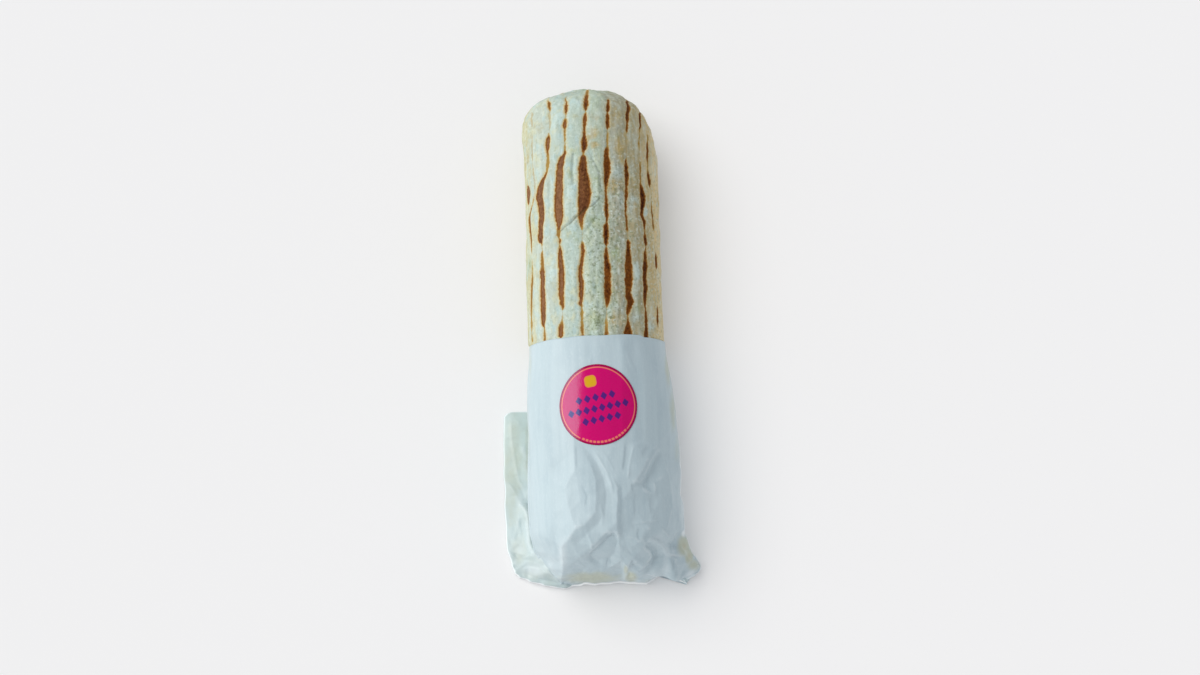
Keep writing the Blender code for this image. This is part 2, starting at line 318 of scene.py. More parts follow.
def makeStudio():
    scene = bpy.context.scene
    scene.view_settings.view_transform = "Standard"
    world = bpy.data.worlds.new("studio")
    scene.world = world
    world.use_nodes = True
    setInputs(world.node_tree.nodes["Background"], studio["sky"])
    world.cycles_visibility.glossy = False  # only the windows gleam, the rest of the room is dark
    for lit, (elevation, azimuth, spread, strength) in studio["windows"].items():
        data = bpy.data.lights.new(lit + " window", "SUN")
        data.angle = math.radians(spread)
        data.energy = strength
        data.color = linear(studio["windowColour"])[:3]
        window = bpy.data.objects.new(data.name, data)
        elevation, azimuth = math.radians(elevation), math.radians(azimuth)
        towards = Vector((math.cos(azimuth), math.sin(azimuth), math.tan(elevation)))
        window.rotation_mode = "QUATERNION"
        window.rotation_quaternion = (-towards).to_track_quat("-Z", "Y")
        window.light_linking.receiver_collection = bpy.data.collections.new(lit)
        scene.collection.objects.link(window)
    half = studio["tableSize"] / 2
    mesh = bpy.data.meshes.new("floor")
    corners = [(-half, -half, 0.0), (half, -half, 0.0), (half, half, 0.0), (-half, half, 0.0)]
    mesh.from_pydata(corners, [], [(0, 1, 2, 3)])
    material = bpy.data.materials.new("matte white table")
    material.use_nodes = True
    setInputs(material.node_tree.nodes["Principled BSDF"], studio["table"])
    mesh.materials.append(material)
    floor = bpy.data.objects.new("floor", mesh)
    scene.collection.objects.link(floor)
    bpy.data.collections["table"].objects.link(floor)


makeCamera()
makeStudio()
print("camera, light and floor are in place")


# The roll's plain form, which bread and paper share: a long body of superellipse sections with
# rounded ends. Its underside lies on the table, then on the bag, then on the bag's flattened tail.
roll = {
    "width": 64.4,
    "height": 57.6,
    "tipY": rollBox[1][1],
    "buriedY": rollBox[0][1],
    "tipRounding": 24.0,
    "buriedRounding": 20.0,
    "tipPower": 2.15,  # 2 rounds the end like an ellipse, more is blunter
    "buriedPower": 2.3,
    "squareness": 2.08,  # 2 is an ellipse, more is squarer
    "sag": 2.2,  # how much of the underside the table has pressed flat
    "swell": 0.36,  # how far the filling pushes the bare bread out
    "underside": [(17.5, 0.0), (-3.5, 1.1), (-19.5, 1.1), (-32.5, 2.6)],
    "bareFrom": (-2.5, 21.5),  # between these y the swell grows from nothing
    # how far the tip's left and right sides stand out from the plain form, at each y
    "tipLeft": [
        (45, 0), (75, -0.9), (94, -0.9), (101, -0.4), (105, 0.6), (109, 1.7), (113.2, 3.0),
        (117.5, 0.5),
    ],
    "tipRight": [(86, 0), (92, -0.9), (97, -2.0), (102, -3.0), (110, -2.7), (115, -3.4), (118, -3.8)],
    # how much thinner the roll is where the bag hides it, so that creases can sink in: mm, and
    # the y at which it starts and is full
    "slimming": [(0.35, -4.2, -6.5), (0.9, -8.0, -24.0), (1.6, -44.0, -62.0)],
}


# How far the roll's section has closed at y: (1 - t^p)^(1/p) over each rounded end.
def rollShrink(y):
    tip = np.clip((y - roll["tipY"]) / roll["tipRounding"] + 1.0, 0.0, 1.0)
    buried = np.clip((roll["buriedY"] - y) / roll["buriedRounding"] + 1.0, 0.0, 1.0)
    shares = ((tip, roll["tipPower"]), (buried, roll["buriedPower"]))
    return math.prod((1.0 - t**power) ** (1 / power) for t, power in shares)


# A superellipse quarter by quarter: x and z from the angle, which is 0 at the top and grows to
# the right, with |sin|^(2/p) across and |cos|^(2/p) up and down.
def sectionPoints(angle, left, right, top, bottom, sideZ, upperPower, lowerPower):
    s, c = np.sin(angle), np.cos(angle)
    power = np.where(c > 0.0, upperPower, lowerPower)
    x = np.where(s > 0.0, right, -left) * np.abs(s) ** (2.0 / power)
    z = sideZ + np.where(c > 0.0, top - sideZ, bottom - sideZ) * np.abs(c) ** (2.0 / power)
    return x, z


# How much wider the tip is than the plain form, as a factor of x.
def tipWidening(x, y, half):
    uneven = np.where(x < 0.0, along(roll["tipLeft"], y), along(roll["tipRight"], y))
    return 1.0 + uneven / np.maximum(half, 6.0)


# Points of the roll at every angle and y, grown outwards by offset.
def rollPoints(angle, y, offset=0.0):
    shrink, underside = rollShrink(y), along(roll["underside"], y)
    half, middle = roll["width"] / 2 * shrink + offset, roll["height"] / 2
    up = middle * shrink + offset
    down = (middle - underside + roll["sag"]) * shrink + offset
    power = roll["squareness"]
    x, z = sectionPoints(angle, half, half, middle + up, middle - down, middle, power, power)
    lumps = np.sin(2 * angle + y / 21.0) + 0.8 * np.sin(3 * angle - y / 13.0 + 1.2)
    swell = roll["swell"] * lumps * smoothStep(*roll["bareFrom"], y) * shrink
    x = x + swell * np.sin(angle)
    z = np.maximum(z + swell * np.cos(angle), underside - offset)
    x = x * tipWidening(x, y, half)
    return np.stack([x, y + 0.0 * x, z], -1)


def hiddenSlim(y):
    return sum(depth * smoothStep(start, full, y) for depth, start, full in roll["slimming"])


# Arc length from the roll's top line at each angle, on its full section, in mm.
arcAngles = np.linspace(-math.pi, math.pi, 721)
arcSteps = np.hypot(roll["width"] / 2 * np.cos(arcAngles), roll["height"] / 2 * np.sin(arcAngles))
arcLengths = np.cumsum(arcSteps) * (arcAngles[1] - arcAngles[0])
arcLengths -= np.interp(0.0, arcAngles, arcLengths)


# Where the rays of photograph pixels meet the roll: angle and y. Each meets an elliptic tube,
# and this is repeated because the tube is thinner and uneven near the tip.
def photoToRoll(pixels):
    place, rays = photoRays(pixels)
    middle = roll["height"] / 2
    shrink, wider = np.ones(len(rays)), np.ones(len(rays))
    for _ in range(14):
        a, b = roll["width"] / 2 * shrink * wider, middle * shrink
        qa = (rays[:, 0] / a) ** 2 + (rays[:, 2] / b) ** 2
        qb = place[0] * rays[:, 0] / a**2 + (place[2] - middle) * rays[:, 2] / b**2
        qc = (place[0] / a) ** 2 + ((place[2] - middle) / b) ** 2 - 1.0
        t = (-qb - np.sqrt(np.maximum(qb**2 - qa * qc, 0.0))) / qa
        hit = place + rays * t[:, None]
        shrink = 0.5 * shrink + 0.5 * np.maximum(rollShrink(hit[:, 1]), 0.15)
        wider = tipWidening(hit[:, 0], hit[:, 1], roll["width"] / 2 * shrink)
    return np.arctan2(hit[:, 0] / a, (hit[:, 2] - middle) / b), hit[:, 1]


bread = {
    "around": 360,
    "topDensity": 0.4,  # how much closer the points are on top than at the sides
    "tipRings": 60,
    "bareRings": 190,
    "buriedRings": 9,
    "plainFrom": (-5.5, -3.0),  # y, inside the bag the bread stays plain
    "firstHidden": 68.0,  # degrees from the top to the last rib that shows on the right
    "markPitch": 20.0,  # degrees between the press's ribs round the roll, 11 mm
    "hiddenMarks": 9,
    "dashes": ((5.0, 24.0), (0.3, 2.2), (0.2, 1.0)),  # hidden ones: length and width in mm, darkness
    "dashGaps": (1.0, 4.0),  # mm
    "dashProfile": ((0.0, -0.1), (0.12, 0.6), (0.4, 1.0), (0.7, 0.8), (0.95, 0.5), (1.0, 0.1)),
    "ragged": [(0.22, 2.4, 5), (0.14, 1.1, 6)],  # char's edges: mm high, mm across, seed
    "markDepth": 0.35,  # mm, how deep a rib pressed in
    "puff": 0.3,  # mm, how far the bread puffs up between two ribs
    "pressEnds": (119.0, 111.0),  # y, the rounded tip met the press less and less
    # unevenness: mm high, mm across, how each axis is stretched, and seed
    "noises": {
        "lumps": (0.35, 13.0, (1.0, 0.6, 1.0), 21),
        "wrinkles": (0.22, 3.2, (1.0, 0.45, 1.0), 31),
    },
    "blisters": (0.22, 4.2),  # mm high and mm across
    # the photograph's columns and rows over which the skin turns coarser, the columns over
    # which it turns finer again, and how much higher coarse wrinkles are
    "coarseColumns": (562.0, 600.0),
    "coarseRows": (115.0, 220.0),
    "finerColumns": (625.0, 636.0),
    "coarser": 0.7,
    "tearDepth": 0.35,  # mm
    "tearWidth": 0.5,
    "tearRagged": (0.6, 3.0),  # mm high and mm across
    "flapLift": 0.45,  # mm, the torn skin above the crease stands off this much
    "seamAngle": -118.0,  # degrees, the sheet's outer edge, low on the left flank
    "seamStep": 1.3,  # mm, the sheet's thickness
    "seamWander": (1.2, 17.0),  # mm aside and mm along
    "pleats": 0.7,  # mm, round the tucked end
    "tuckStep": 1.6,  # mm, the folded-in end's edge
    "tuckEdge": (24.0, 0.25, 0.010),  # its height in mm, slope and bend across
}

# Each rib of the press left one line of char. Down each line: the photograph's row, the line's
# centre there, how wide the char is, in pixels, and how dark it is, from 0 to 1. A width under
# zero is bare bread.
charLines = [
    [(184, 528.2, -1, 0.4), (189, 528.2, 3, 0.5), (196, 528.2, 4.4, 0.6), (203, 528.2, 2.6, 0.5),
     (209, 528.2, -1, 0.4)],
    [(110, 533, -1, 0.1), (114, 533, 1.6, 0.1), (126, 533, 1.6, 0.1), (130, 533, -0.6, 0.1),
     (143, 532.6, 1.2, 0.1), (157, 532.6, 1.2, 0.1), (162, 533, -1, 0.2), (174, 533.6, 1, 0.1),
     (184, 535, 1, 0.1), (192, 535.5, -0.4, 0.2), (200, 534.4, 0.8, 0.25), (206, 532.6, 1.2, 0.3),
     (215, 529.6, 1.6, 0.3), (219, 529, 2.0, 0.35), (228, 529.6, 2.0, 0.4), (240, 531, 2.0, 0.35),
     (249, 531.6, 1.2, 0.3), (256, 531.8, -0.6, 0.2), (270, 532.6, 1, 0.2), (284, 532, 1.6, 0.3),
     (304, 531.4, 1.6, 0.3), (314, 531.2, 2.2, 0.2), (326, 531.4, 2.6, 0.2), (333, 531.6, 1, 0.1),
     (341, 532.4, 1.4, 0.2)],
    [(99, 549.4, -1, 0.4), (103, 549.4, 2.2, 0.4), (108, 549.6, 2.4, 0.4), (111, 549.8, 1.6, 0.1),
     (127, 550, 2, 0.1), (132, 549, -0.6, 0.1), (136, 548.4, 2, 0.5), (139, 547.9, 4.4, 0.6),
     (146, 547.7, 4.2, 0.5), (152, 547.8, 2.4, 0.4), (156, 548.2, 2.4, 0.2), (163, 548.6, 3, 0.2),
     (170, 547.8, 2.4, 0.2), (176, 545.6, 3, 0.5), (181, 542.6, 5, 0.7), (188, 540.6, 6.4, 0.7),
     (196, 539.6, 6.6, 0.7), (206, 541.4, 6.2, 0.7), (216, 542.8, 5.6, 0.7), (228, 542.2, 5.2, 0.7),
     (238, 541.4, 5.6, 0.8), (242, 541.8, 4, 0.8), (244, 543.2, 1, 0.3), (250, 543.8, 0.8, 0.1),
     (254, 543.4, 2, 0.3), (268, 543.4, 2.6, 0.3), (274, 543, 4, 0.5), (288, 542.6, 4.8, 0.6),
     (306, 543.2, 4.8, 0.5), (320, 543.6, 4.8, 0.7), (325, 543.6, 2.6, 0.8), (328, 545, 1.4, 0.2),
     (334, 545.2, 2.2, 0.3), (341, 545.2, 2.6, 0.3)],
    [(95, 566.4, 0.4, 0.1), (101, 566.4, 2, 0.4), (105, 566.2, 3.2, 0.6), (110, 566.3, 3, 0.7),
     (113, 566, 1.2, 0.3), (117, 565.8, 1, 0.1), (120, 565.4, 3.2, 0.4), (125, 564.6, 4.4, 0.5),
     (129, 564.8, 2, 0.3), (140, 565.2, 1.4, 0.2), (150, 565.4, 1.6, 0.2), (153, 565.4, 3, 0.7),
     (157, 563, 5.6, 0.8), (164, 561, 7, 0.6), (172, 560.2, 7.4, 0.55), (184, 560, 8, 0.55),
     (196, 559.6, 8.4, 0.55), (206, 559.8, 8.8, 0.55), (218, 560.4, 8.4, 0.5), (223, 560.6, 6, 0.6),
     (228, 560.2, 3, 0.6), (231, 559.8, 3, 0.2), (235, 559.4, 3.4, 0.3), (238, 560.2, 0.6, 0.2),
     (241, 560.9, 2.4, 0.8), (244, 561, 1, 0.3), (247, 561, 2, 0.3), (251, 561, 3.6, 0.7),
     (260, 561.2, 5, 0.6), (270, 561.6, 5.8, 0.7), (284, 561.4, 5.6, 0.6), (296, 561.4, 5.2, 0.4),
     (303, 562.4, 4, 0.4), (307, 563.4, 2.4, 0.4), (311, 563, -0.4, 0.1), (315, 563.2, 1.4, 0.1),
     (321, 562.6, 2.2, 0.2), (327, 561.4, 4.8, 0.4), (336, 561.2, 5, 0.5)],
    [(89, 587.6, 1.6, 0.2), (94, 587, 3, 0.3), (98, 586.2, 3.8, 0.7), (106, 586, 4, 0.8),
     (109, 585.9, 2.4, 0.4), (111, 585.8, 1, 0.1), (114, 585.6, 3.4, 0.5), (119, 585.4, 4, 0.6),
     (124, 585, 2.6, 0.5), (130, 584.4, 2.4, 0.7), (136, 584.6, 4.4, 0.8), (143, 584.7, 7, 1),
     (149, 584.6, 5, 1), (152, 584.2, 2.6, 0.3), (155, 583.9, 3, 0.3), (158, 583.6, 6.4, 0.8),
     (166, 583.2, 8.2, 0.9), (174, 583.8, 9.4, 0.85), (184, 584.8, 11.4, 0.8), (194, 585, 12.6, 0.8),
     (202, 584.4, 12, 0.85), (207, 584, 10.4, 0.9), (212, 583, 7.6, 0.9), (217, 582, 5.4, 0.7),
     (222, 582, 4.4, 0.4), (227, 582.6, 2, 0.3), (231, 583.2, 0.4, 0.1), (241, 583.2, 0.4, 0.1),
     (246, 583.2, 3.4, 0.5), (252, 584, 4.4, 0.5), (259, 582.8, 3.6, 0.4), (266, 581.6, 4.4, 0.6),
     (275, 580.8, 4.8, 0.6), (286, 582, 4.6, 0.7), (298, 582, 4.2, 0.6), (303, 580.9, 3.6, 0.5),
     (307, 582.4, 2.2, 0.2), (320, 583, 2.6, 0.2), (328, 583, 3.2, 0.3), (336, 583.4, 2.6, 0.4)],
    [(97, 608, -0.4, 0.2), (100, 607.6, 2.4, 0.6), (105, 607.4, 4, 0.8), (110, 607.2, 3.4, 0.8),
     (112.5, 607, 0.6, 0.2), (115, 607, 3.4, 0.7), (122, 606.9, 4.4, 0.8), (127, 606.9, 3.6, 0.8),
     (130, 606.8, 0.8, 0.1), (134, 606.7, 1.8, 0.2), (146, 606.4, 2.2, 0.2), (150, 605.8, 4, 0.5),
     (157, 605.4, 4.8, 0.6), (162, 606.4, 7.2, 0.8), (172, 606.4, 6.6, 0.8), (180, 605.6, 4.8, 0.9),
     (187, 605, 2.8, 0.7), (194, 605, 2.4, 0.4), (201, 605.6, 3.4, 0.8), (209, 605.8, 4.4, 0.9),
     (217, 606.2, 3, 0.8), (222, 606.2, 1.8, 0.4), (226, 605.4, 4.8, 0.9), (235, 605.2, 5.6, 1),
     (243, 605.2, 4.6, 1), (246, 605.6, 1, 0.2), (250, 605.8, 2.8, 0.6), (258, 606, 4.8, 0.9),
     (266, 606.4, 6.4, 0.9), (275, 607, 7, 0.5), (284, 606.8, 7, 0.8), (294, 606.6, 6.6, 0.9),
     (301, 606.6, 5.4, 0.6), (306, 606.2, 2, 0.4), (310, 606, -0.2, 0.1), (316, 606, 1.4, 0.1),
     (322, 605.8, 2.6, 0.2), (336, 605.8, 3.2, 0.4)],
    [(98, 626.4, 1.4, 0.4), (102, 626.6, 3.4, 0.7), (114, 626.9, 4, 0.9), (120, 626.8, 3.6, 0.8),
     (124, 626.5, 2.6, 0.4), (131, 626.3, 2.6, 0.4), (134, 626, 0.4, 0.1), (140, 625.6, 0.8, 0.1),
     (158, 626.4, 0.8, 0.1), (161, 625.4, 2.4, 0.6), (167, 626, 4.6, 0.9), (173, 626.6, 4.8, 0.9),
     (181, 626.4, 3, 0.8), (188, 626.6, 2.8, 0.6), (194, 626.8, 3.2, 0.6), (200, 626, 2.4, 0.5),
     (212, 625.4, 2, 0.4), (222, 626.4, 2.2, 0.4), (229, 626.9, 3, 0.4), (233, 627.2, 0.4, 0.1),
     (239, 627.6, 0.6, 0.1), (242, 627.8, 3.4, 0.8), (250, 627.6, 4.4, 0.9), (256, 627.4, 6, 0.7),
     (268, 627.8, 7.4, 0.6), (279, 627.9, 8, 0.7), (288, 627.6, 6, 0.6), (293, 627, 5.6, 0.6),
     (298, 628.2, 7.2, 0.7), (302, 629.8, 7.4, 0.8), (306, 628.8, 5.4, 0.7), (312, 627.2, 3.6, 0.6),
     (316, 627, 1, 0.2), (321, 627.3, 2, 0.6), (326, 627.3, 5, 0.6), (331, 627.3, 8, 0.6),
     (336, 627.3, 8.6, 0.6)],
    [(110, 639.2, 0.6, 0.4), (114, 639.6, 2.4, 0.8), (120, 640, 3, 0.9), (127, 640, 2.2, 0.7),
     (130, 639, 1.2, 0.2), (144, 638.5, 1.2, 0.2), (150, 639, 0.4, 0.1), (160, 640, 0.8, 0.1),
     (166, 640.5, 1.6, 0.3), (184, 640.6, 1.8, 0.3), (188, 641.6, 3.2, 0.8), (196, 643, 5.2, 1),
     (203, 643.4, 4.6, 1), (210, 642.4, 3.2, 0.9), (215, 641.8, 2.8, 0.8), (221, 644.2, 3, 0.8),
     (227, 644.2, 2, 0.6), (231, 644.4, 1, 0.3), (236, 644.8, 2.2, 0.8), (243, 645.6, 3.4, 0.9),
     (247, 645.4, 1, 0.3), (250, 644.8, 1.8, 0.4), (255, 644.8, 3, 0.8), (267, 645.2, 5.2, 0.9),
     (278, 644.4, 3.6, 0.8), (287, 645, 4.8, 0.9), (298, 644.6, 3.6, 0.8), (305, 644.6, 2, 0.6),
     (309, 645, 1.6, 0.5), (320, 646, 3.2, 0.7), (330, 645.8, 4, 0.8), (338, 645.6, 4.6, 0.8)],
    [(132, 647.2, -0.4, 0.2), (136, 647.4, 1.2, 0.2), (141, 647.4, 1, 0.2), (146, 647.4, 1.8, 0.5),
     (157, 647.5, 2, 0.5), (163, 648, 1, 0.2), (171, 648.2, 1, 0.2), (175, 648.6, 2.2, 0.7),
     (182, 649.8, 2.2, 0.7), (190, 650.4, -0.4, 0.2), (203, 652, 0.8, 0.2), (215, 653, 1.6, 0.4),
     (228, 654.3, 1.2, 0.3), (236, 655, -0.4, 0.2), (251, 656.4, -0.3, 0.2), (257, 657, 2.4, 0.6),
     (265, 657.2, 2.4, 0.6), (272, 657.2, -0.4, 0.2), (301, 657.4, -0.4, 0.2), (309, 657.6, 1.8, 0.5),
     (322, 657.7, 2.0, 0.5), (330, 657.8, -0.2, 0.3), (339, 658, -0.4, 0.2)],
]
# A tear in the bread's skin, lowest left to highest right, in the photograph's pixels.
tearLine = [
    (558, 234), (563, 230), (570, 224.5), (579, 216), (586, 209.5), (592, 206), (598, 200), (603, 195),
]
# Wrinkles of the skin: depth and width in mm, and the line in the photograph's pixels.
wrinkles = [
    (0.75, 0.8, [(575, 148), (573, 160), (572.5, 174), (574, 190)]),
    (0.7, 0.8, [(550, 176), (549, 196), (549.5, 220)]),
    (0.55, 0.7, [(588, 150), (594, 160), (600, 172), (601, 192)]),
    (0.45, 0.6, [(612, 197), (618, 190), (625, 186)]),
    (0.5, 0.6, [(617, 180), (622, 187), (628, 194)]),
    (0.25, 0.6, [(608, 206), (618, 203), (632, 205)]),
    (0.45, 0.5, [(609, 317), (616, 317), (626, 319)]),
    (0.3, 0.6, [(585, 318), (596, 315), (606, 319)]),
    (0.45, 0.6, [(581, 236), (588, 229), (594, 221), (599, 214)]),
    (0.3, 0.6, [(631, 178), (634, 190), (633, 200)]),
    (0.25, 0.8, [(556, 246), (556, 280), (557, 310)]),
    (0.25, 0.8, [(596, 246), (595, 275), (597, 300)]),
]
# Patches of the skin: the photograph's column and row, their reach across and along, in
# pixels, and how strong they are.
patches = {
    "warm": [
        (594, 134, 8, 8, 0.65), (594, 144, 5, 4, 0.8), (595, 118, 7, 8, 0.4), (615, 118, 8, 12, 0.5),
        (619, 150, 10, 14, 0.85), (627, 138, 7, 8, 0.6), (614, 186, 10, 10, 0.7),
        (633, 180, 6, 14, 0.35), (634, 210, 5, 8, 0.5), (616, 318, 9, 8, 0.75), (651, 272, 4, 9, 0.5),
        (651, 305, 4, 8, 0.5), (637, 252, 6, 8, 0.4), (571, 222, 6, 5, 0.35), (540, 126, 8, 8, 0.25),
        (527, 160, 4, 30, 0.3),
    ],
    # the green patches are partly greener bread and partly painted shade along the skin's wrinkles
    "green": [
        (594, 223, 9, 8, 0.75), (594, 320, 10, 10, 0.7), (571, 172, 4, 10, 0.8), (596, 182, 5, 9, 0.5),
        (616, 252, 7, 12, 0.6), (572, 236, 8, 9, 0.35), (530, 265, 6, 10, 0.5), (616, 300, 7, 10, 0.4),
        (574, 150, 5, 5, 0.5), (604, 300, 4, 20, 0.3), (637, 306, 6, 8, 0.5), (585, 295, 4, 12, 0.4),
        (652, 300, 4, 12, 0.4),
    ],
    "pale": [
        (572, 190, 5, 10, 0.9), (552, 268, 6, 18, 0.7), (617, 174, 7, 9, 0.6), (636, 276, 5, 18, 0.7),
        (556, 118, 7, 22, 0.45), (594, 200, 4, 9, 0.5), (571, 272, 5, 12, 0.4), (549, 234, 5, 6, 0.4),
        (537, 290, 4, 26, 0.4), (634, 200, 4, 6, 0.4), (650, 325, 6, 10, 0.6), (645, 212, 3, 6, 0.7),
        (636, 318, 5, 6, 0.5), (548, 330, 8, 8, 0.5), (576, 102, 10, 8, 0.3),
    ],
}


# The line's stations on the roll, from the photograph: y rising, with angle, half width in mm
# and darkness.
def shownLine(stations):
    rows, centres, widths, dark = np.array(stations, float).T
    angle, y = photoToRoll(np.column_stack([centres, rows]))
    widths = widths / pixelsPerMm / np.maximum(np.cos(angle), 0.3)  # foreshortened near the rims
    order = np.argsort(y)
    return y[order], angle[order], widths[order] / 2, dark[order]


# A line that the photograph doesn't show: dashes of random length, width and darkness, down
# from the rounded tip to the bag.
def hiddenLine(angle, rng):
    lengths, widths, shades = bread["dashes"]
    y, centre, width, dark = [], [], [], []
    place = rng.uniform(98.0, 110.0)
    strength = 0.3 + 0.7 * abs(math.cos(angle))  # flanks touched the ribs only lightly
    while place > -6.0:
        length, wide = rng.uniform(*lengths), rng.uniform(*widths) * strength
        shade = rng.uniform(*shades) * strength
        for part, share in bread["dashProfile"]:
            y.append(place - length * part)
            centre.append(angle + rng.normal(0.0, 0.012))
            width.append(wide * share * rng.uniform(0.7, 1.2))
            dark.append(shade)
        place -= length + rng.uniform(*bread["dashGaps"])
    order = np.argsort(y)
    return tuple(np.array(values)[order] for values in (y, centre, width, dark))


# Char over the bread's grid: how far each point is inside the nearest char mark, in mm, and
# how dark that mark is. Inside is half the width minus the distance to the line's centre.
def charFields(angle, y, points):
    rng = np.random.default_rng(7)
    lines = [shownLine(stations) for stations in charLines]
    start, pitch = math.radians(bread["firstHidden"]), math.radians(bread["markPitch"])
    lines += [hiddenLine(start + pitch * (k + 1), rng) for k in range(bread["hiddenMarks"])]
    shrink = np.maximum(rollShrink(y), 0.02)
    arc = np.interp(angle, arcAngles, arcLengths)
    around = arcLengths[-1] - arcLengths[0]
    inside, dark = np.full(angle.shape, -6.0), np.zeros(angle.shape)
    wobble = sum(height * latticeNoise(points, size, seed) for height, size, seed in bread["ragged"])
    for lineY, lineAngle, halfWidth, shade in lines:
        lineAngle = (lineAngle + math.pi) % (2 * math.pi) - math.pi
        away = np.abs(arc - np.interp(y, lineY, np.interp(lineAngle, arcAngles, arcLengths)))
        away = np.minimum(away, around - away) * shrink
        past = np.maximum(lineY[0] - y, 0.0) + np.maximum(y - lineY[-1], 0.0)
        depth = np.interp(y, lineY, halfWidth) - away + wobble - past
        dark = np.where(depth > inside, np.interp(y, lineY, shade), dark)
        inside = np.maximum(inside, depth)
    return inside, dark


# The bread's sections from the tip to the buried end: the y of each. Over a rounded end they
# stand at sin(q)^(2/p) of its length, for even steps of q.
def breadStations():
    q = np.linspace(0.5 * math.pi * 0.992, 0.0, bread["tipRings"], endpoint=False)
    tip = roll["tipRounding"] * np.sin(q) ** (2 / roll["tipPower"])
    bareEnd = roll["tipY"] - roll["tipRounding"]
    bare = np.linspace(bareEnd, bagBox[1][1] - 2.0, bread["bareRings"])
    innerEnd = roll["buriedY"] + roll["buriedRounding"]
    inner = np.linspace(bare[-1] - 4.0, innerEnd, bread["buriedRings"])
    q = np.linspace(0.0, 0.5 * math.pi * 0.98, 6)[1:]
    end = roll["buriedRounding"] * np.sin(q) ** (2 / roll["buriedPower"])
    return np.concatenate([bareEnd + tip, bare, inner, innerEnd - end])


# The bread: the roll's points, moved outwards by a relief that sums all its marks.
def makeBreadShape():
    angles = anglesAround(bread["around"], bread["topDensity"])
    y, angle = np.meshgrid(breadStations(), angles, indexing="ij")
    points = rollPoints(angle, y)
    inside, dark = charFields(angle, y, points)
    across = np.interp(angle, arcAngles, arcLengths)
    column, row = photoPixels(points)
    facing = smoothStep(1.75, 1.5, np.abs(angle)) * smoothStep(118.0, 114.0, y)
    shrink = rollShrink(y)

    # ribs press in, bread puffs up between them, and fine wrinkles run over both
    relief = -bread["markDepth"] * smoothStep(-0.7, 1.0, inside)
    relief += bread["puff"] * (smoothStep(0.5, -4.0, inside) - 0.4)
    relief *= smoothStep(*bread["pressEnds"], y)
    coarse = smoothStep(*bread["coarseColumns"], column) * smoothStep(*bread["coarseRows"], row)
    coarse = coarse * (1.0 - 0.45 * smoothStep(*bread["finerColumns"], column))
    coarse = coarse * facing + 0.4 * (1.0 - facing)
    uneven = {}
    for name, (height, size, stretch, seed) in bread["noises"].items():
        uneven[name] = height * layeredNoise(points * stretch, size, seed)
    relief += uneven["lumps"] + uneven["wrinkles"] * (1.0 + bread["coarser"] * coarse)
    height, size = bread["blisters"]
    relief += height * smoothStep(0.35, 0.9, latticeNoise(points, size, 41))
    for depth, width, line in wrinkles:
        line = np.array(line) / pixelsPerMm
        away, place = polylineDistance(column / pixelsPerMm, row / pixelsPerMm, line)
        ends = smoothStep(0.0, 0.25, place) * smoothStep(1.0, 0.75, place)
        relief -= depth * np.exp(-((away / width) ** 2)) * ends * facing

    # the tear: a thin groove, with the skin above it standing off
    tearAngle, tearY = photoToRoll(tearLine)
    tear = np.column_stack([np.interp(tearAngle, arcAngles, arcLengths), tearY])
    away, place = polylineDistance(across, y, tear)
    height, size = bread["tearRagged"]
    away = away + height * latticeNoise(points, size, 77)
    ends = smoothStep(0.0, 0.12, place) * smoothStep(1.0, 0.88, place)
    relief -= bread["tearDepth"] * np.exp(-((away / bread["tearWidth"]) ** 2)) * ends
    relief += bread["flapLift"] * smoothStep(0.0, 0.5, away) * smoothStep(7.0, 0.5, away) * ends

    # the sheet's outer edge, a step that runs the whole length low on the left flank
    seamArc = np.interp(math.radians(bread["seamAngle"]), arcAngles, arcLengths)
    aside, size = bread["seamWander"]
    fromSeam = across - seamArc - aside * latticeNoise(points * [0, 1, 0], size, 51)
    relief += bread["seamStep"] * smoothStep(0.0, 0.7, fromSeam) * smoothStep(26.0, 4.0, fromSeam)

    # the folded-in end: pleats that run to a dimple, crossed by the last fold's curved edge
    tipHalf = (y > 60) * 1.0
    pleats = np.sin(5 * angle + 1.3 * np.sin(angle + 0.6)) * np.sin(math.pi * shrink) ** 1.2
    relief += bread["pleats"] * pleats * smoothStep(0.97, 0.6, shrink) * tipHalf
    height, slope, bend = bread["tuckEdge"]
    fold = points[..., 2] - height - slope * points[..., 0] + bend * points[..., 0] ** 2
    step = bread["tuckStep"] * smoothStep(-0.2, 0.7, fold) * smoothStep(18.0, 3.0, fold) - 0.3
    relief += step * smoothStep(0.80, 0.35, shrink) * tipHalf

    relief = relief * smoothStep(*bread["plainFrom"], y) - hiddenSlim(y)
    ahead = np.where(y > 0, 1.0, -1.0) * np.sqrt(np.maximum(1.0 - shrink**2, 0.0))
    outward = np.stack([np.sin(angle) * shrink, ahead, np.cos(angle) * shrink], -1)
    points = points + outward * relief[..., None]
    points[..., 2] = np.maximum(points[..., 2], 0.05)
    tearDistance = np.abs(away) + 4.0 * (1.0 - ends)
    fields = {"inside": inside, "dark": dark, "tear": tearDistance, "coarse": coarse}
    for kind, spots in patches.items():
        # random ones where the photograph can't say
        hidden = 0.7 * smoothStep(0.1, 0.7, layeredNoise(points, 13.0, len(kind)))
        fields[kind] = spotField(spots, column, row) * facing + hidden * (1.0 - facing)
    return points, fields


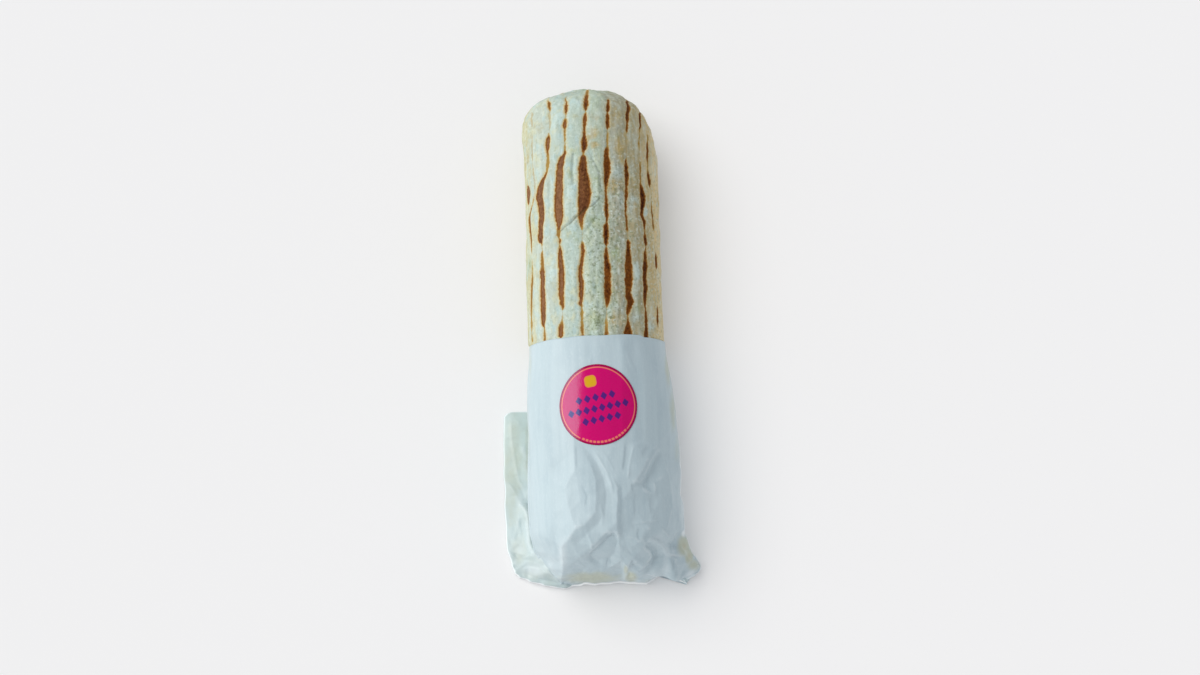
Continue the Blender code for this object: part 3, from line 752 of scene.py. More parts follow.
# Soft wheat flatbread, floury and toasted in a ribbed press: dry and matt, pale grey-green
# where flour covers it, warmer where it is bare, brown to near black where a rib touched it.
breadFinish = {
    # the skin's colour from the left rim to the right one: where each starts and is full, in mm. It is darker
    # towards the middle and the right partly as painted shade, where less light falls, and partly as the bread's
    # own warmer, less floury skin
    "leftRim": "#c2c09c",
    "across": [
        (-30.5, -26.5, "#bac5b8"),
        (-21.0, -13.0, "#b6c7bb"),
        (-8.0, 1.0, "#b1bfab"),
        (4.0, 11.0, "#a7a48b"),
        (14.0, 21.0, "#b0a580"),
        (22.0, 27.0, "#ccb98a"),
        (28.0, 31.0, "#ddc898"),
    ],
    "warm": "#b59f66",
    "green": "#8f9f6c",
    "pale": "#c6dcd8",
    "flour": "#d9e6de",
    "crumb": "#77825f",
    "cream": "#cdcfae",
    "veil": "#b3cfd0",
    "halo": "#cabd90",
    "toastPale": "#b09452",
    "amber": "#a87a38",
    "toast": "#764516",
    "charPale": "#8e6545",
    "charWarm": "#8a5016",
    "charDark": "#3e1602",
    "tearEdge": "#6b6440",
    # noises: grain size in mm, detail, and how each axis is stretched
    "grains": {
        "borders": (7.0, 3.0, (1.0, 0.6, 1.0)),
        "patches": (3.2, 4.0, (1.0, 0.8, 1.0)),
        "streaks": (2.6, 3.0, (1.0, 0.15, 1.0)),
        "mottle": (1.5, 4.0, (1.0, 1.0, 1.0)),
        "specks": (1.3, 5.0, (1.0, 1.0, 1.0)),
        "clouds": (5.0, 4.0, (1.3, 0.8, 1.0)),
        "veils": (3.6, 4.0, (1.2, 0.5, 1.0)),
        "serration": (0.8, 4.0, (1.0, 0.8, 1.0)),
        "char": (1.1, 5.0, (1.0, 0.8, 1.0)),
        "flecks": (0.7, 4.0, (1.0, 0.7, 1.0)),
        "pores": (0.45, 4.0, (1.0, 1.0, 1.0)),
        "wrinkles": (1.8, 4.0, (1.0, 0.6, 1.0)),
    },
    "wander": 14.0,  # mm, how far the borders between its side to side colours wander
    "surface": {"Roughness": 0.85, "Specular IOR Level": 0.15},
}


def makeBreadMaterial():
    finish = breadFinish
    name, fields = "floury toasted flatbread", ("inside", "dark", "tear", "coarse", *patches)
    material, place, field, grain = startMaterial(name, fields, finish["grains"])

    # ramps of one thing along another: what steers it, where it starts and is full, and its
    # least and most
    right = addNode(material, "SeparateXYZ", None, {0: place}).outputs["X"]
    ramps = {
        "right": (right, -8.0 * mm, 3.0 * mm, 0.0, 1.0),
        "mottle": (field["coarse"], 0.0, 1.0, 0.34, 0.60),
        "specks": (field["coarse"], 0.0, 1.0, 0.20, 0.72),
        "halo": (field["dark"], 0.1, 0.4, 0.0, 1.0),
        "toast": (field["dark"], 0.0, 0.2, 0.0, 1.0),
        "brown": (field["dark"], 0.15, 0.45, 0.0, 1.0),
        "deep": (field["dark"], 0.3, 0.5, 0.0, 1.0),
    }
    ramp = {}
    for name, (steer, low, high, least, most) in ramps.items():
        links = {"Value": steer, "From Min": low, "From Max": high, "To Min": least, "To Max": most}
        ramp[name] = addNode(material, "MapRange", None, links)
    # pale cream clouds and bluish veils fade from left to right: partly the skin's flour, partly painted light on
    # the lit left side
    for name, left, most in (("clouds", 0.6, 0.25), ("veils", 0.5, 0.20)):
        links = {"Value": ramp["right"], "To Min": left, "To Max": most}
        ramp[name] = addNode(material, "MapRange", None, links)

    # the side to side blend wanders by a few mm, patches and char have ragged borders
    plus, times = {"operation": "MULTIPLY_ADD"}, {"operation": "MULTIPLY"}
    side = addNode(material, "Math", plus, {0: grain["borders"], 1: finish["wander"] * mm, 2: right})
    ragged = {}
    for key in patches:
        ragged[key] = addNode(material, "Math", plus, {0: grain["patches"], 1: 1.5, 2: field[key]})
    edge = addNode(material, "Math", plus, {0: grain["serration"], 1: 1.2, 2: field["inside"]})

    # toast is amber; char is warmer and darker towards the right, partly as painted shade where less light falls,
    # and near black where it is darkest
    shade = addNode(material, "Math", plus, {0: grain["char"], 1: 1.6, 2: field["dark"]})
    shade = addNode(material, "Math", {"operation": "SUBTRACT"}, {0: shade, 1: 0.2})
    shade = addNode(material, "Math", plus, {0: ramp["right"], 1: 0.2, 2: shade})
    burnt = addNode(material, "MapRange", None, {"Value": shade, "From Min": 1.0, "From Max": 1.95})
    blend = {"data_type": "RGBA"}
    links = {0: ramp["brown"], 6: finish["toastPale"], 7: finish["amber"]}
    toast = addNode(material, "Mix", blend, links)
    links = {0: ramp["right"], 6: finish["charPale"], 7: finish["charWarm"]}
    core = addNode(material, "Mix", blend, links)
    core = addNode(material, "Mix", blend, {0: burnt, 6: core, 7: finish["charDark"]})
    within = addNode(material, "MapRange", None, {"Value": edge, "From Min": 0.5, "From Max": 0.9})
    fleck = addNode(material, "Math", times, {0: ramp["deep"], 1: 0.55})
    fleck = addNode(material, "Math", times, {0: fleck, 1: within})
    halo = addNode(material, "Math", plus, {0: ramp["right"], 1: -0.45, 2: 0.85})
    halo = addNode(material, "Math", times, {0: ramp["halo"], 1: halo})

    shift = finish["wander"] / 2  # the noise's mean is a half
    layers = []
    # side to side colours: the bread's own tones, darker towards the right partly as painted shade
    for low, high, colour in finish["across"]:
        layers.append((side, (low + shift) * mm, (high + shift) * mm, 1.0, colour))
    layers += [
        (ragged["pale"], 0.85, 1.55, 0.8, finish["pale"]),
        (ragged["warm"], 0.85, 1.55, 0.85, finish["warm"]),
        (ragged["green"], 0.85, 1.60, 0.7, finish["green"]),
        (grain["clouds"], 0.50, 0.66, ramp["clouds"], finish["cream"]),
        (grain["veils"], 0.50, 0.66, ramp["veils"], finish["veil"]),
        (grain["streaks"], 0.45, 0.70, 0.30, finish["flour"]),
        (grain["mottle"], 0.50, 0.30, ramp["mottle"], finish["flour"]),
        (grain["specks"], 0.50, 0.70, ramp["specks"], finish["crumb"]),
        (edge, -0.70, 0.40, halo, finish["halo"]),
        (edge, 0.30, 0.75, ramp["toast"], toast),
        (edge, 0.62, 1.10, ramp["brown"], finish["toast"]),
        (edge, 1.00, 1.55, ramp["deep"], core),
        (grain["flecks"], 0.60, 0.72, fleck, finish["amber"]),
        (field["tear"], 0.45, 0.10, 0.45, finish["tearEdge"]),
    ]
    links = {"Strength": 0.5, "Distance": 0.25 * mm, "Height": grain["pores"]}
    pores = addNode(material, "Bump", None, links)
    links = {"Strength": 0.6, "Distance": 0.7 * mm, "Height": grain["wrinkles"], "Normal": pores}
    bump = addNode(material, "Bump", None, links)
    return finishMaterial(material, finish["leftRim"], layers, bump, finish["surface"])


addPiece(
    "toasted_flatbread", *makeBreadShape(), makeBreadMaterial(), "flatbread_roll", "toasted_flatbread"
)


# The bag, a flat paper tube round the roll. Its sections follow stations, each a y and a value,
# in mm.
bag = {
    "around": 380,
    "topDensity": 0.42,  # how much closer the points are on top than at the sides
    "rings": 232,
    "ringShift": 1.6,  # over 1 brings the rings closer together towards the fold
    "left": [(-6, 33.5), (-40, 34.6), (-92, 35.6), (-101, 34), (-108, 30.5), (-114, 26), (-119.5, 20)],
    "right": [(-6, 33.5), (-40, 36.4), (-92, 38.6), (-103, 42), (-114, 46.8), (-119.5, 40)],
    "sideZ": [(-6, 28.8), (-60, 27), (-78, 22.5), (-94, 16.5), (-106, 10), (-114, 5), (-119.5, 2.4)],
    "roofPower": [(-6, 2.08), (-92, 2.1), (-108, 1.5), (-119.5, 1.9)],
    "underside": [(-19.5, 0.0), (-32.5, 1.5)],
    "shoulderY": -84.0,  # from here the roof comes down to the fold
    "foldHeight": 2.6,
    "wall": 1.1,  # mm outside the roll, where the bag hangs loose
    "mouthWall": 0.42,  # mm outside the roll, where the mouth grips it
    "skin": 0.12,  # mm outside the roll, the paper's inner side
    "skinDepths": (0.0, 1.0, 2.5, 5.0, 9.0, 14.0, 20.0),  # mm from the mouth to the inner side's rings
    "skinRings": (-30.0, -88.0, 8),  # y of the further ones: first, last, and how many
    "skinEnd": 20.0,  # mm, its rounded end
    "foldRound": 1.1,  # mm, how far the folded edge stands out as it comes down to the table
    # the folded edge's rings, down to the table, are painted white: a painted highlight
    "foldPaintedHighlight": (1.6, 1.6, 1.6, 1.4, 0.7, 0.3, 0.1, 0.0),  # how white its rings are, down to the table
    "foldFoot": (0.35, 0.55),  # mm, where the lower and the upper sheet end at the fold
    "cornerPower": (30, 8),  # how suddenly the fold is flat at its right and left corner
    "keptBack": (79, 0.5, 0.02),  # the lower sheet's last rings, mm at the fold, more for each before
    "domain": 31.0,  # mm for each radian, scale of the crease map across
    # y over which each of these changes
    "loosens": (-4.0, -24.0),  # from gripped to loose
    "sagEnds": (-112.0, -84.0),
    "foldShifts": (-96.0, -118.0),  # towards the fold's edge
    "mouthShifts": (-30.0, -5.0),  # towards the mouth's edge
    "crumples": (-46.0, -64.0),
    # mm from the mouth, over which each of these grows from nothing
    "flatFrom": (44.0, 62.0),  # flat facets
    "liftFrom": (20.0, 55.0),  # how far the smooth form stands off
    "fineFrom": (45.0, 75.0),  # fine creases
    "crumpleFrom": (60.0, 100.0),
    "sideFoldFrom": (38.0, 60.0),
    "whiteFrom": (30.0, 60.0),  # whitened creases
    "facets": (0.12, 0.73),  # how flat they are near the mouth, and how much flatter at the fold
    # where the paper is taut: between mm across on the left, and up to mm from the mouth
    "tautAcross": ((-20.0, -24.0), (-56.0, -48.0)),
    "tautUpTo": (112.0, 96.0),
    "tautShares": (0.8, 0.85),  # how much less facetted and less finely creased it is there
    "softness": 0.12,  # how much each point leans towards its neighbours over a crease
    "crumple": 1.25,  # how much the creases are deepened towards the fold
    "middleLift": 0.7,  # mm, the height about which they are
    "hiddenStep": 11.0,  # mm between the corners of creases that the photograph doesn't show
    "fineStep": 4.6,  # mm between the corners of the fine creases
    "fineLift": 0.2,  # mm
    "ripple": (0.16, 5.5, 0.07),  # long soft ones down from the mouth: mm high, mm across, stretch
    "smallCrumple": (0.18, 6.0),  # mm high and mm across
    "creaseStand": (0.12, 0.50),  # mm over its surroundings, from which a crease whitens
    "creaseWhite": 0.3,
    "hiddenOil": 0.35,  # where the photograph can't say
    "sideFold": (1.50, 0.9, 0.028),  # the flat bag's side edge: angle, mm high, radians wide
}

# Where the mouth's edge is round the roll, in degrees from the top, and the fold's edge
# across, both as y in mm.
mouthEdge = [
    (-180, -5.2), (-75, -4.7), (-32, -3.8), (-12, -3.4), (5, -3.6), (22, -3.3), (36, -3.4), (43, -4.4),
    (75, -4.9), (180, -5.2),
]
foldEdge = [
    (-60, -110.2), (-43.8, -110.8), (-38, -114.3), (-29, -117.0), (-21.6, -119.0), (-12.9, -119.2),
    (-3, -119.1), (6.7, -118.6), (12, -120.6), (17, -120.0), (23, -119.0), (28, -113.9),
    (31.5, -121.4), (36, -121.2), (40, -119.8), (46, -118.8), (60, -118.8),
]

# Creases of the paper, as chains of corners: the photograph's column and row, and how far the
# paper stands off there, in mm. Then single corners between them.
creases = [
    [(574, 352, 0.4), (573, 395, 0.3), (574, 436, 0.45), (574, 452, 0.9), (575, 470, 1.2),
     (569, 480, 1.25), (564.5, 488, 1.3), (567, 499, 1.3), (570.5, 512, 1.3), (573, 520, 1.4),
     (577, 527, 1.8), (570, 536, 2.2), (564, 543, 2.6), (565, 553, 3.2), (567, 564, 3.7),
     (565, 575, 3.0), (563, 583, 0.9)],
    [(584, 452, 0.3), (590, 464, 0.6), (595.5, 480, 0.8), (596, 498, 0.8), (595, 512, 0.7),
     (585, 524, 1.0), (577, 527, 1.8)],
    [(586, 449, 0.0), (597, 463, 0.0), (603, 477, -0.3), (606, 490, -0.5), (606, 503, -0.5),
     (605, 515, -0.5)],
    [(597, 449, 0.4), (606, 462, 0.5), (613, 478, 0.2), (617.5, 489, 0.0), (618, 500, -0.1),
     (617, 512, -0.1), (617, 522, -0.1), (618, 535, 0.0), (620, 548, 0.0), (621, 562, 0.0),
     (621, 581, 0.1)],
    [(622, 487, -0.4), (623, 500, -0.8), (622.5, 512, -0.9), (622.5, 522, -0.9), (624, 535, -0.8),
     (627, 548, -0.3)],
    [(634, 446, 0.7), (631, 462, 0.6), (628, 478, 0.35)],
    [(655, 447, 0.6), (648, 458, 0.75), (643, 469, 0.8), (636, 480, 0.6)],
    [(663, 452, 0.0), (656, 463, -0.25), (651, 475, -0.35), (645, 486, -0.25), (633, 487, 0.0)],
    [(617, 522, -0.1), (606, 533, 0.3), (594, 544, 0.8), (581, 555, 1.5), (572, 562, 2.4),
     (567, 564, 3.7)],
    [(612, 543, -1.2), (603, 552, -1.5), (596, 561, -1.2), (586, 568, -0.3)],
    [(608, 517, -0.5), (598, 524, -0.6), (588, 533, 0.2), (577, 543, 1.2)],
    [(643, 546, 0.9), (650, 551, 1.0), (651, 558, 1.0), (645, 565, 0.8), (638, 573, 0.6)],
    [(655, 549, 0.3), (657, 557, 0.1), (653, 566, 0.1), (646, 575, 0.2)],
    [(640, 541, 0.6), (652, 538, 1.0), (663, 544, 1.6), (670, 555, 2.0), (675, 565, 3.0),
     (676, 578, 2.4)],
    [(679, 530, 0.2), (675, 538, -0.2), (672, 545, -0.3)],
    [(670, 555, 2.0), (678, 556, 1.7), (684, 553, 1.6), (690, 562, 1.2), (698, 566, 0.8)],
    [(680, 541, 0.2), (684, 532, 1.1)],
    [(530, 515, 0.5), (532, 530, 0.7), (535, 545, 0.9), (541, 556, 1.2), (549, 566, 1.6),
     (557, 576, 1.4), (563, 583, 0.9)],
]
creaseSpots = [
    (535, 352, 0.1), (553, 352, 0.1), (588, 352, 0.3), (601, 352, 0.6), (612, 352, 0.2),
    (622, 352, 0.6), (634, 352, 0.2), (645, 352, 0.5), (655, 352, 0.1), (588, 395, 0.3),
    (600, 395, 0.45), (612, 395, 0.3), (622, 395, 0.45), (634, 395, 0.2), (645, 395, 0.5),
    (655, 395, 0.0), (540, 440, 0.3), (553, 440, 0.35), (612, 445, 0.3), (622, 445, 0.2),
    (646, 440, 0.2), (545, 400, 0.3), (535, 400, 0.2), (545, 475, 0.4), (535, 450, 0.2),
    (548, 505, 0.6), (546, 530, 0.9), (551, 553, 2.3), (534, 500, 0.3), (540, 515, 0.5),
    (538, 535, 0.9), (556, 540, 1.5), (556, 565, 3.1), (553, 520, 0.8), (580, 500, 0.95),
    (578, 485, 1.0), (580, 575, 0.3), (600, 576, -0.4), (612, 570, -0.8), (610, 556, -1.4),
    (668, 470, 0.3), (667, 492, 0.3), (656, 484, 0.0), (671, 484, 0.6), (673, 505, 0.6),
    (660, 505, -0.3), (650, 500, -1.0), (640, 500, -1.2), (678, 515, 0.9), (640, 515, -1.2),
    (655, 515, -0.2), (667, 528, 1.1), (650, 528, 0.2), (636, 530, -1.0), (632, 548, 0.1),
    (634, 558, 0.4), (627, 567, 0.3), (633, 579, 0.3), (655, 577, 0.4), (645, 582, 0.4),
    (663, 572, 0.4), (677, 549, 0.1), (682, 545, 0.3), (691, 553, 0.6), (684, 573, 0.3),
    (690, 571, 0.2), (526, 545, 0.2), (529, 556, 1.2), (521, 561, 0.2), (527, 567, 1.3),
    (538, 567, 0.2), (545, 574, 1.2), (535, 575, 0.5), (551, 581, 0.6), (518, 569, 0.8),
]
# Single folds: height and width in mm, how far the far side takes to rise again (0 is a ridge),
# and the line in the photograph's pixels, from top to bottom.
folds = [
    (0.16, 0.45, 0.0, [(634, 443), (631.5, 455), (629, 468), (627.5, 481)]),
    (0.4, 0.45, 0.0, [(661, 520.5), (645, 522), (632, 523.5)]),
    (1.0, 1.1, 7.0, [(634, 561), (629, 570), (624, 581)]),
    (0.16, 0.7, 0.0, [(612, 533), (612.5, 546), (612, 561)]),
    (0.3, 0.9, 0.0, [(592, 447), (600, 461), (607, 473), (611, 484), (613, 496)]),
    (0.4, 1.3, 9.0, [(624, 442), (623, 456), (621, 472)]),
    (0.12, 0.6, 0.0, [(600, 448), (609, 461), (615, 473)]),
    (0.15, 0.6, 4.0, [(575, 445), (575.5, 457), (576, 469)]),
    (0.3, 0.6, 5.0, [(661, 526), (666, 533), (672, 540)]),
    (0.22, 0.6, 5.0, [(643, 538), (646, 545), (645, 552)]),
    (1.3, 2.6, 9.0, [(659, 446), (652, 458), (646, 470), (641, 481), (638, 486)]),
    (0.5, 0.9, 5.0, [(643, 481.5), (636, 483), (630, 484.5)]),
    (0.4, 1.6, 7.0, [(648, 443), (643, 449), (640, 456)]),
    (-0.7, 0.6, 0.0, [(634, 559), (630.5, 567), (627, 575)]),
    (1.3, 2.2, 12.0, [(614, 529), (605, 538), (595, 547), (584, 557)]),
    (0.9, 1.2, 6.0, [(641, 541.5), (652, 540), (662, 545), (669, 554), (672, 566), (673, 574)]),
    (0.8, 1.3, 5.0, [(642, 548), (649, 551), (652, 556), (648, 564), (640, 571)]),
    (1.1, 1.6, 6.0, [(679, 527), (674, 536), (669, 546), (669, 552)]),
    (0.8, 1.2, 6.0, [(671, 557), (677, 560), (676, 569), (673, 579)]),
    (0.25, 0.7, 4.0, [(650, 493), (649, 505), (651, 516)]),
    (0.2, 0.8, 5.0, [(634, 490), (633, 503), (634, 517)]),
    (0.25, 0.8, 5.0, [(669, 492), (667, 503), (662, 514)]),
    (0.25, 0.7, 4.0, [(638, 527), (636, 534), (638, 541)]),
    (0.2, 0.6, 4.0, [(605, 548), (607, 558), (605, 569)]),
    (0.2, 0.6, 0.0, [(586, 532), (591, 541), (592, 551)]),
    (0.18, 0.6, 4.0, [(580, 486), (586, 496), (584, 508)]),
    (0.3, 0.8, 5.0, [(655, 481), (656, 488), (655, 497)]),
    (0.2, 0.6, 5.0, [(661, 487), (662, 497), (664, 508)]),
    (0.16, 0.7, 0.0, [(600, 503), (603, 516), (601, 527)]),
    (0.18, 0.7, 6.0, [(576, 560), (583, 566), (593, 571)]),
    (0.15, 0.7, 0.0, [(590, 358), (590.5, 364)]),
    (0.14, 0.8, 0.0, [(648, 352), (652, 375), (655, 400), (658, 430)]),
    (0.12, 0.8, 0.0, [(626, 350), (630, 362), (636, 372)]),
]
# Where the paper is tinted by the oil that has soaked in, and where painted shade darkens it in the notch and on
# the lower right ear: the photograph's column and row, reach across and along in pixels, and strength. Then where
# it is crushed and whitened, and where painted highlights whiten its bright rims and lit crumples.
oilAndShadeSpots = [
    (684, 546, 6, 11, 1.25), (689, 556, 4, 9, 1.3), (694, 565, 7, 7, 0.9), (668, 365, 4, 30, 0.7),
    (673, 410, 4, 30, 0.7), (677, 448, 4, 22, 0.5), (592, 578, 32, 7, 1.0), (631, 578, 7, 6, 1.1),
    (626, 570, 3, 6, 0.9), (651, 581, 15, 4, 0.5), (530, 360, 2.5, 40, 0.5), (527, 450, 3, 60, 0.6),
    (512, 470, 16, 90, 0.6), (519, 550, 16, 28, 0.5), (535, 575, 22, 9, 0.5), (648, 562, 7, 9, 0.3),
    (652, 460, 5, 14, 0.2),
]
crushedAndHighlightSpots = [
    (667, 569, 4, 9, 0.4), (655, 574, 12, 7, 0.35), (676, 556, 9, 2, 0.5), (552, 566, 8, 13, 0.3),
    (540, 556, 7, 8, 0.3), (563, 555, 6, 18, 0.45), (684, 533, 2, 4, 0.9), (682, 505, 2, 30, 0.4),
    (660, 540, 9, 9, 0.3), (692, 575, 6, 6, 0.6), (535, 570, 14, 9, 0.5), (519, 548, 10, 12, 0.3),
    (521, 500, 5, 12, 0.3), (512, 440, 4, 40, 0.25),
]


# The smooth bag's roof height at y: the fold's height, rising as (1 - t^2.3)^0.5 to the roll.
def roofTop(y):
    t = np.clip((bag["shoulderY"] - y) / (bag["shoulderY"] - bagBox[0][1]), 0.0, 1.0)
    full = roll["height"] + bag["wall"]
    return bag["foldHeight"] + (full - bag["foldHeight"]) * np.sqrt(1.0 - t**2.3)


# The smooth bag's section at y: left, right, top, bottom, height of the sides and the powers.
def bagSection(y):
    loose = smoothStep(*bag["loosens"], y)
    slack = (bag["mouthWall"] - bag["wall"]) * (1.0 - loose)
    left, right = (along(bag[side], y) + slack - 0.2 * (1.0 - loose) for side in ("left", "right"))
    bottom = along(bag["underside"], y) - roll["sag"] * smoothStep(*bag["sagEnds"], y)
    sideZ, roofPower = along(bag["sideZ"], y), along(bag["roofPower"], y)
    return left, right, roofTop(y) + slack, bottom, sideZ, roofPower, roll["squareness"]


# Points of the smooth bag, whose two ends are shifted to the mouth's and the fold's edges.
def bagPoints(angle, y):
    x, z = sectionPoints(angle, *bagSection(y))
    z = np.maximum(z, along(bag["underside"], y))
    shifted = y + (along(foldEdge, x) - bagBox[0][1]) * smoothStep(*bag["foldShifts"], y)
    mouthShift = along(mouthEdge, np.degrees(angle)) - bagBox[1][1]
    shifted = shifted + mouthShift * smoothStep(*bag["mouthShifts"], y)
    return np.stack([x, shifted + 0.0 * x, z], -1)


# Unit normals of the smooth bag, from small steps along both of its directions.
def bagNormals(angle, y):
    aroundStep = bagPoints(angle + 1e-3, y) - bagPoints(angle - 1e-3, y)
    alongStep = bagPoints(angle, y + 1e-3) - bagPoints(angle, y - 1e-3)
    normal = np.cross(aroundStep, alongStep)
    return normal / np.maximum(np.linalg.norm(normal, axis=-1, keepdims=True), 1e-12)


# Where the rays of photograph pixels meet the smooth bag's roof: angle and y. Each ray is
# followed down from above the bag to the first place where it is lower than the roof.
def photoToBag(pixels):
    place, rays = photoRays(pixels)
    heights = np.arange(60.0, 0.4, -0.1)
    t = (heights[None, :] - place[2]) / rays[:, 2:3]
    x, y = place[0] + rays[:, 0:1] * t, place[1] + rays[:, 1:2] * t
    # nearly the reverse of the shift to the fold's edge
    y = y - (along(foldEdge, x) - bagBox[0][1]) * smoothStep(-96.0, -116.0, y)
    y = np.clip(y, bagBox[0][1], bagBox[1][1] + 2.0)
    left, right, top, bottom, sideZ, upperPower, _ = bagSection(y)
    sine = np.clip(np.abs(x) / np.where(x > 0, right, left), 0.0, 1.0) ** (upperPower / 2)
    roof = sideZ + (top - sideZ) * np.sqrt(1.0 - sine**2) ** (2 / upperPower)
    first = np.argmax(heights[None, :] <= roof, axis=1)
    row = np.arange(len(first))
    return np.arcsin(np.clip(sine, 0, 1))[row, first] * np.sign(x[row, first]), y[row, first]


# Rings along the bag: the y of each and its length along the roof's curve, at shares
# 0.5 t + 0.5 (1 - (1 - t)^p) of that curve. Then the curve's own y and length, finely stepped.
def bagStations():
    power = bag["ringShift"]
    curveY = bagBox[0][1] + (bagBox[1][1] - bagBox[0][1]) * (1.0 - np.linspace(0, 1, 6001)) ** power
    steps = np.hypot(np.diff(curveY), np.diff(roofTop(curveY)))
    curveLength = np.concatenate([[0.0], np.cumsum(steps)])
    t = np.linspace(0.0, 1.0, bag["rings"])
    lengths = curveLength[-1] * (0.5 * t + 0.5 * (1.0 - (1.0 - t) ** power))
    return np.interp(lengths, curveLength, curveY), lengths, curveY, curveLength


bagAngles = anglesAround(bag["around"], bag["topDensity"])
bagRings, bagLengths, curveY, curveLength = bagStations()


# Joins the corners of a map of the unrolled bag. Those near the seam under the bag are copied a
# whole turn over first, so that the map meets itself there.
def joinAround(corners, lifts, reach, edges, spare):
    turn = 2 * math.pi * bag["domain"]
    own = list(zip(corners, lifts))
    for shift in (-turn, turn):
        for (across, length), lift in own:
            if abs(across + shift) < turn / 2 + reach:
                corners.append((across + shift, length))
                lifts.append(lift)
    return joinCorners(corners, lifts, edges, spare)


# The crease map: its corners on the unrolled bag, how far each stands off, and the triangles
# between them. Chains of corners stay edges; random corners fill what the photograph hides.
def creaseMap():
    rng = np.random.default_rng(11)
    pixels, lifts, edges, index = [], [], [], {}
    for chain in creases + [[spot] for spot in creaseSpots]:
        numbers = []
        for x, y, lift in chain:
            if (x, y) not in index:
                index[x, y] = len(pixels)
                pixels.append((x, y))
                lifts.append(lift)
            numbers.append(index[x, y])
        edges += list(zip(numbers[:-1], numbers[1:]))
    angle, y = photoToBag(pixels)
    known = np.column_stack([angle * bag["domain"], np.interp(-y, -curveY, curveLength)])
    corners = [tuple(corner) for corner in known]
    half, total, step = math.pi * bag["domain"], curveLength[-1], bag["hiddenStep"]
    for i in range(int(2 * half / step)):
        for j in range(int(total / step) + 1):
            across = -half + (i + rng.uniform(0.1, 0.9)) * step
            length = (j + rng.uniform(-0.1, 0.7)) * step
            lift = rng.uniform(-0.5, 0.9) * (0.35 + 0.65 * min(length / 90.0, 1.0))
            near = np.hypot(known[:, 0] - across, known[:, 1] - length).min()
            if near > 8.0 and (abs(across) > 40.0 or length < 6.0):
                corners.append((across, length))
                lifts.append(lift)
    for across in np.linspace(-half, half, 18)[:-1]:
        for length in (-8.0, total + 6.0):
            corners.append((across, length))
            lifts.append(0.3)
    return joinAround(corners, lifts, 25.0, edges, 0.5)


# Heights of a fine crease map, in mm: a jittered lattice of corners, each up or down a little.
def fineCreases(across, length):
    rng = np.random.default_rng(5)
    turn, step = 2 * math.pi * bag["domain"], bag["fineStep"]
    columns = int(round(turn / step))
    corners, heights = [], []
    for j in range(-1, int(curveLength[-1] / step) + 3):
        for i in range(columns):
            place = (i + 0.5 * (j % 2) + rng.uniform(-0.42, 0.42)) / columns - 0.5
            corners.append((place * turn, (j + rng.uniform(-0.42, 0.42)) * step))
            heights.append(rng.uniform(-1.0, 1.0) * bag["fineLift"])
    corners, heights, triangles = joinAround(corners, heights, 2 * step, [], 0.0)
    return overFacets(corners, triangles, heights[:, None], across, length)[..., 0]


# How far single folds lift every point, in mm: a ridge exp(-d^2), or a step down to the right of
# the line that slowly rises again.
def foldRelief(lines, column, row):
    relief = np.zeros(column.shape)
    for height, width, reach, line in lines:
        line = np.array(line) / pixelsPerMm
        away, place = polylineDistance(column / pixelsPerMm, row / pixelsPerMm, line)
        ends = smoothStep(0.0, 0.2, place) * smoothStep(1.0, 0.8, place)
        if reach:
            relief -= height * smoothStep(0.0, width, -away) * smoothStep(reach, width, -away) * ends
        else:
            relief += height * np.exp(-((away / width) ** 2)) * ends
    return relief


# Keeps the paper outside the roll and above the table: a point inside the roll's section, grown
# by this factor, is pushed straight out from the section's middle.
def keepOffRoll(points, grown=1.008):
    shrink, slim = rollShrink(points[..., 1]), hiddenSlim(points[..., 1])
    middle, power = roll["height"] / 2, roll["squareness"]
    half = np.maximum(roll["width"] / 2 * shrink - slim, 1e-6)
    tall = np.maximum(middle * shrink - slim, 1e-6)
    rise = points[..., 2] - middle
    reach = (np.abs(points[..., 0] / half) ** power + np.abs(rise / tall) ** power) ** (1 / power)
    sunk = (reach < grown) & (shrink > 0.05) & (rise > 0)
    push = np.where(sunk, grown / np.maximum(reach, 0.5), 1.0)
    points[..., 0] *= push
    points[..., 2] = np.maximum(middle + rise * push, 0.02)


# The rounded fold: rings that stand out by sin^0.5 of a quarter turn and come down to the table
# by its cos^0.5. The lower sheet keeps back behind the upper one's edge first.
def closeFold(points):
    below = np.abs(bagAngles) > 0.5 * math.pi
    power = np.where(bagAngles > 0, *bag["cornerPower"])
    taper = 1.0 - np.abs(np.sin(bagAngles)) ** power  # nothing stands out at the bag's corners
    last = points[-1]
    order = np.argsort(last[~below, 0])
    count, back, more = bag["keptBack"]
    for k, ring in enumerate(points[: -count - 1 : -1]):
        edgeY = np.interp(ring[below, 0], last[~below, 0][order], last[~below, 1][order])
        ring[below, 1] = np.maximum(ring[below, 1], edgeY + (back + more * k) * taper[below])
    standOut = bag["foldRound"] * taper - 0.2 * below
    foot = np.where(below, *bag["foldFoot"])
    closing = []
    for q in np.linspace(0.0, 0.5 * math.pi, len(bag["foldPaintedHighlight"]) + 1)[1:]:
        ring = last.copy()
        ring[:, 1] -= standOut * math.sin(q) ** 0.5
        ring[:, 2] = foot + (last[:, 2] - foot) * max(math.cos(q), 0.0) ** 0.5
        closing.append(ring)
    return closing


# The paper's inner side, ring by ring from the roll's buried end up to the mouth's edge: the
# roll's own points, a little further out.
def innerSkin(mouth):
    skin = []
    for depth in bag["skinDepths"]:
        skinY = mouth[:, 1] - depth
        skin.append(rollPoints(bagAngles, skinY, bag["skin"] - hiddenSlim(skinY) * (depth > 1.0)))
    plainY = np.linspace(*bag["skinRings"])
    endY = plainY[-1] - 0.5 - bag["skinEnd"] * np.sin(np.linspace(0, 0.49 * math.pi, 6)[1:])
    for y in np.concatenate([plainY, endY]):
        offset = bag["skin"] - hiddenSlim(y)
        skin.append(rollPoints(bagAngles, np.full(bagAngles.shape, y), offset))
    return skin[::-1] + [mouth + (skin[0] - mouth) * 0.5]


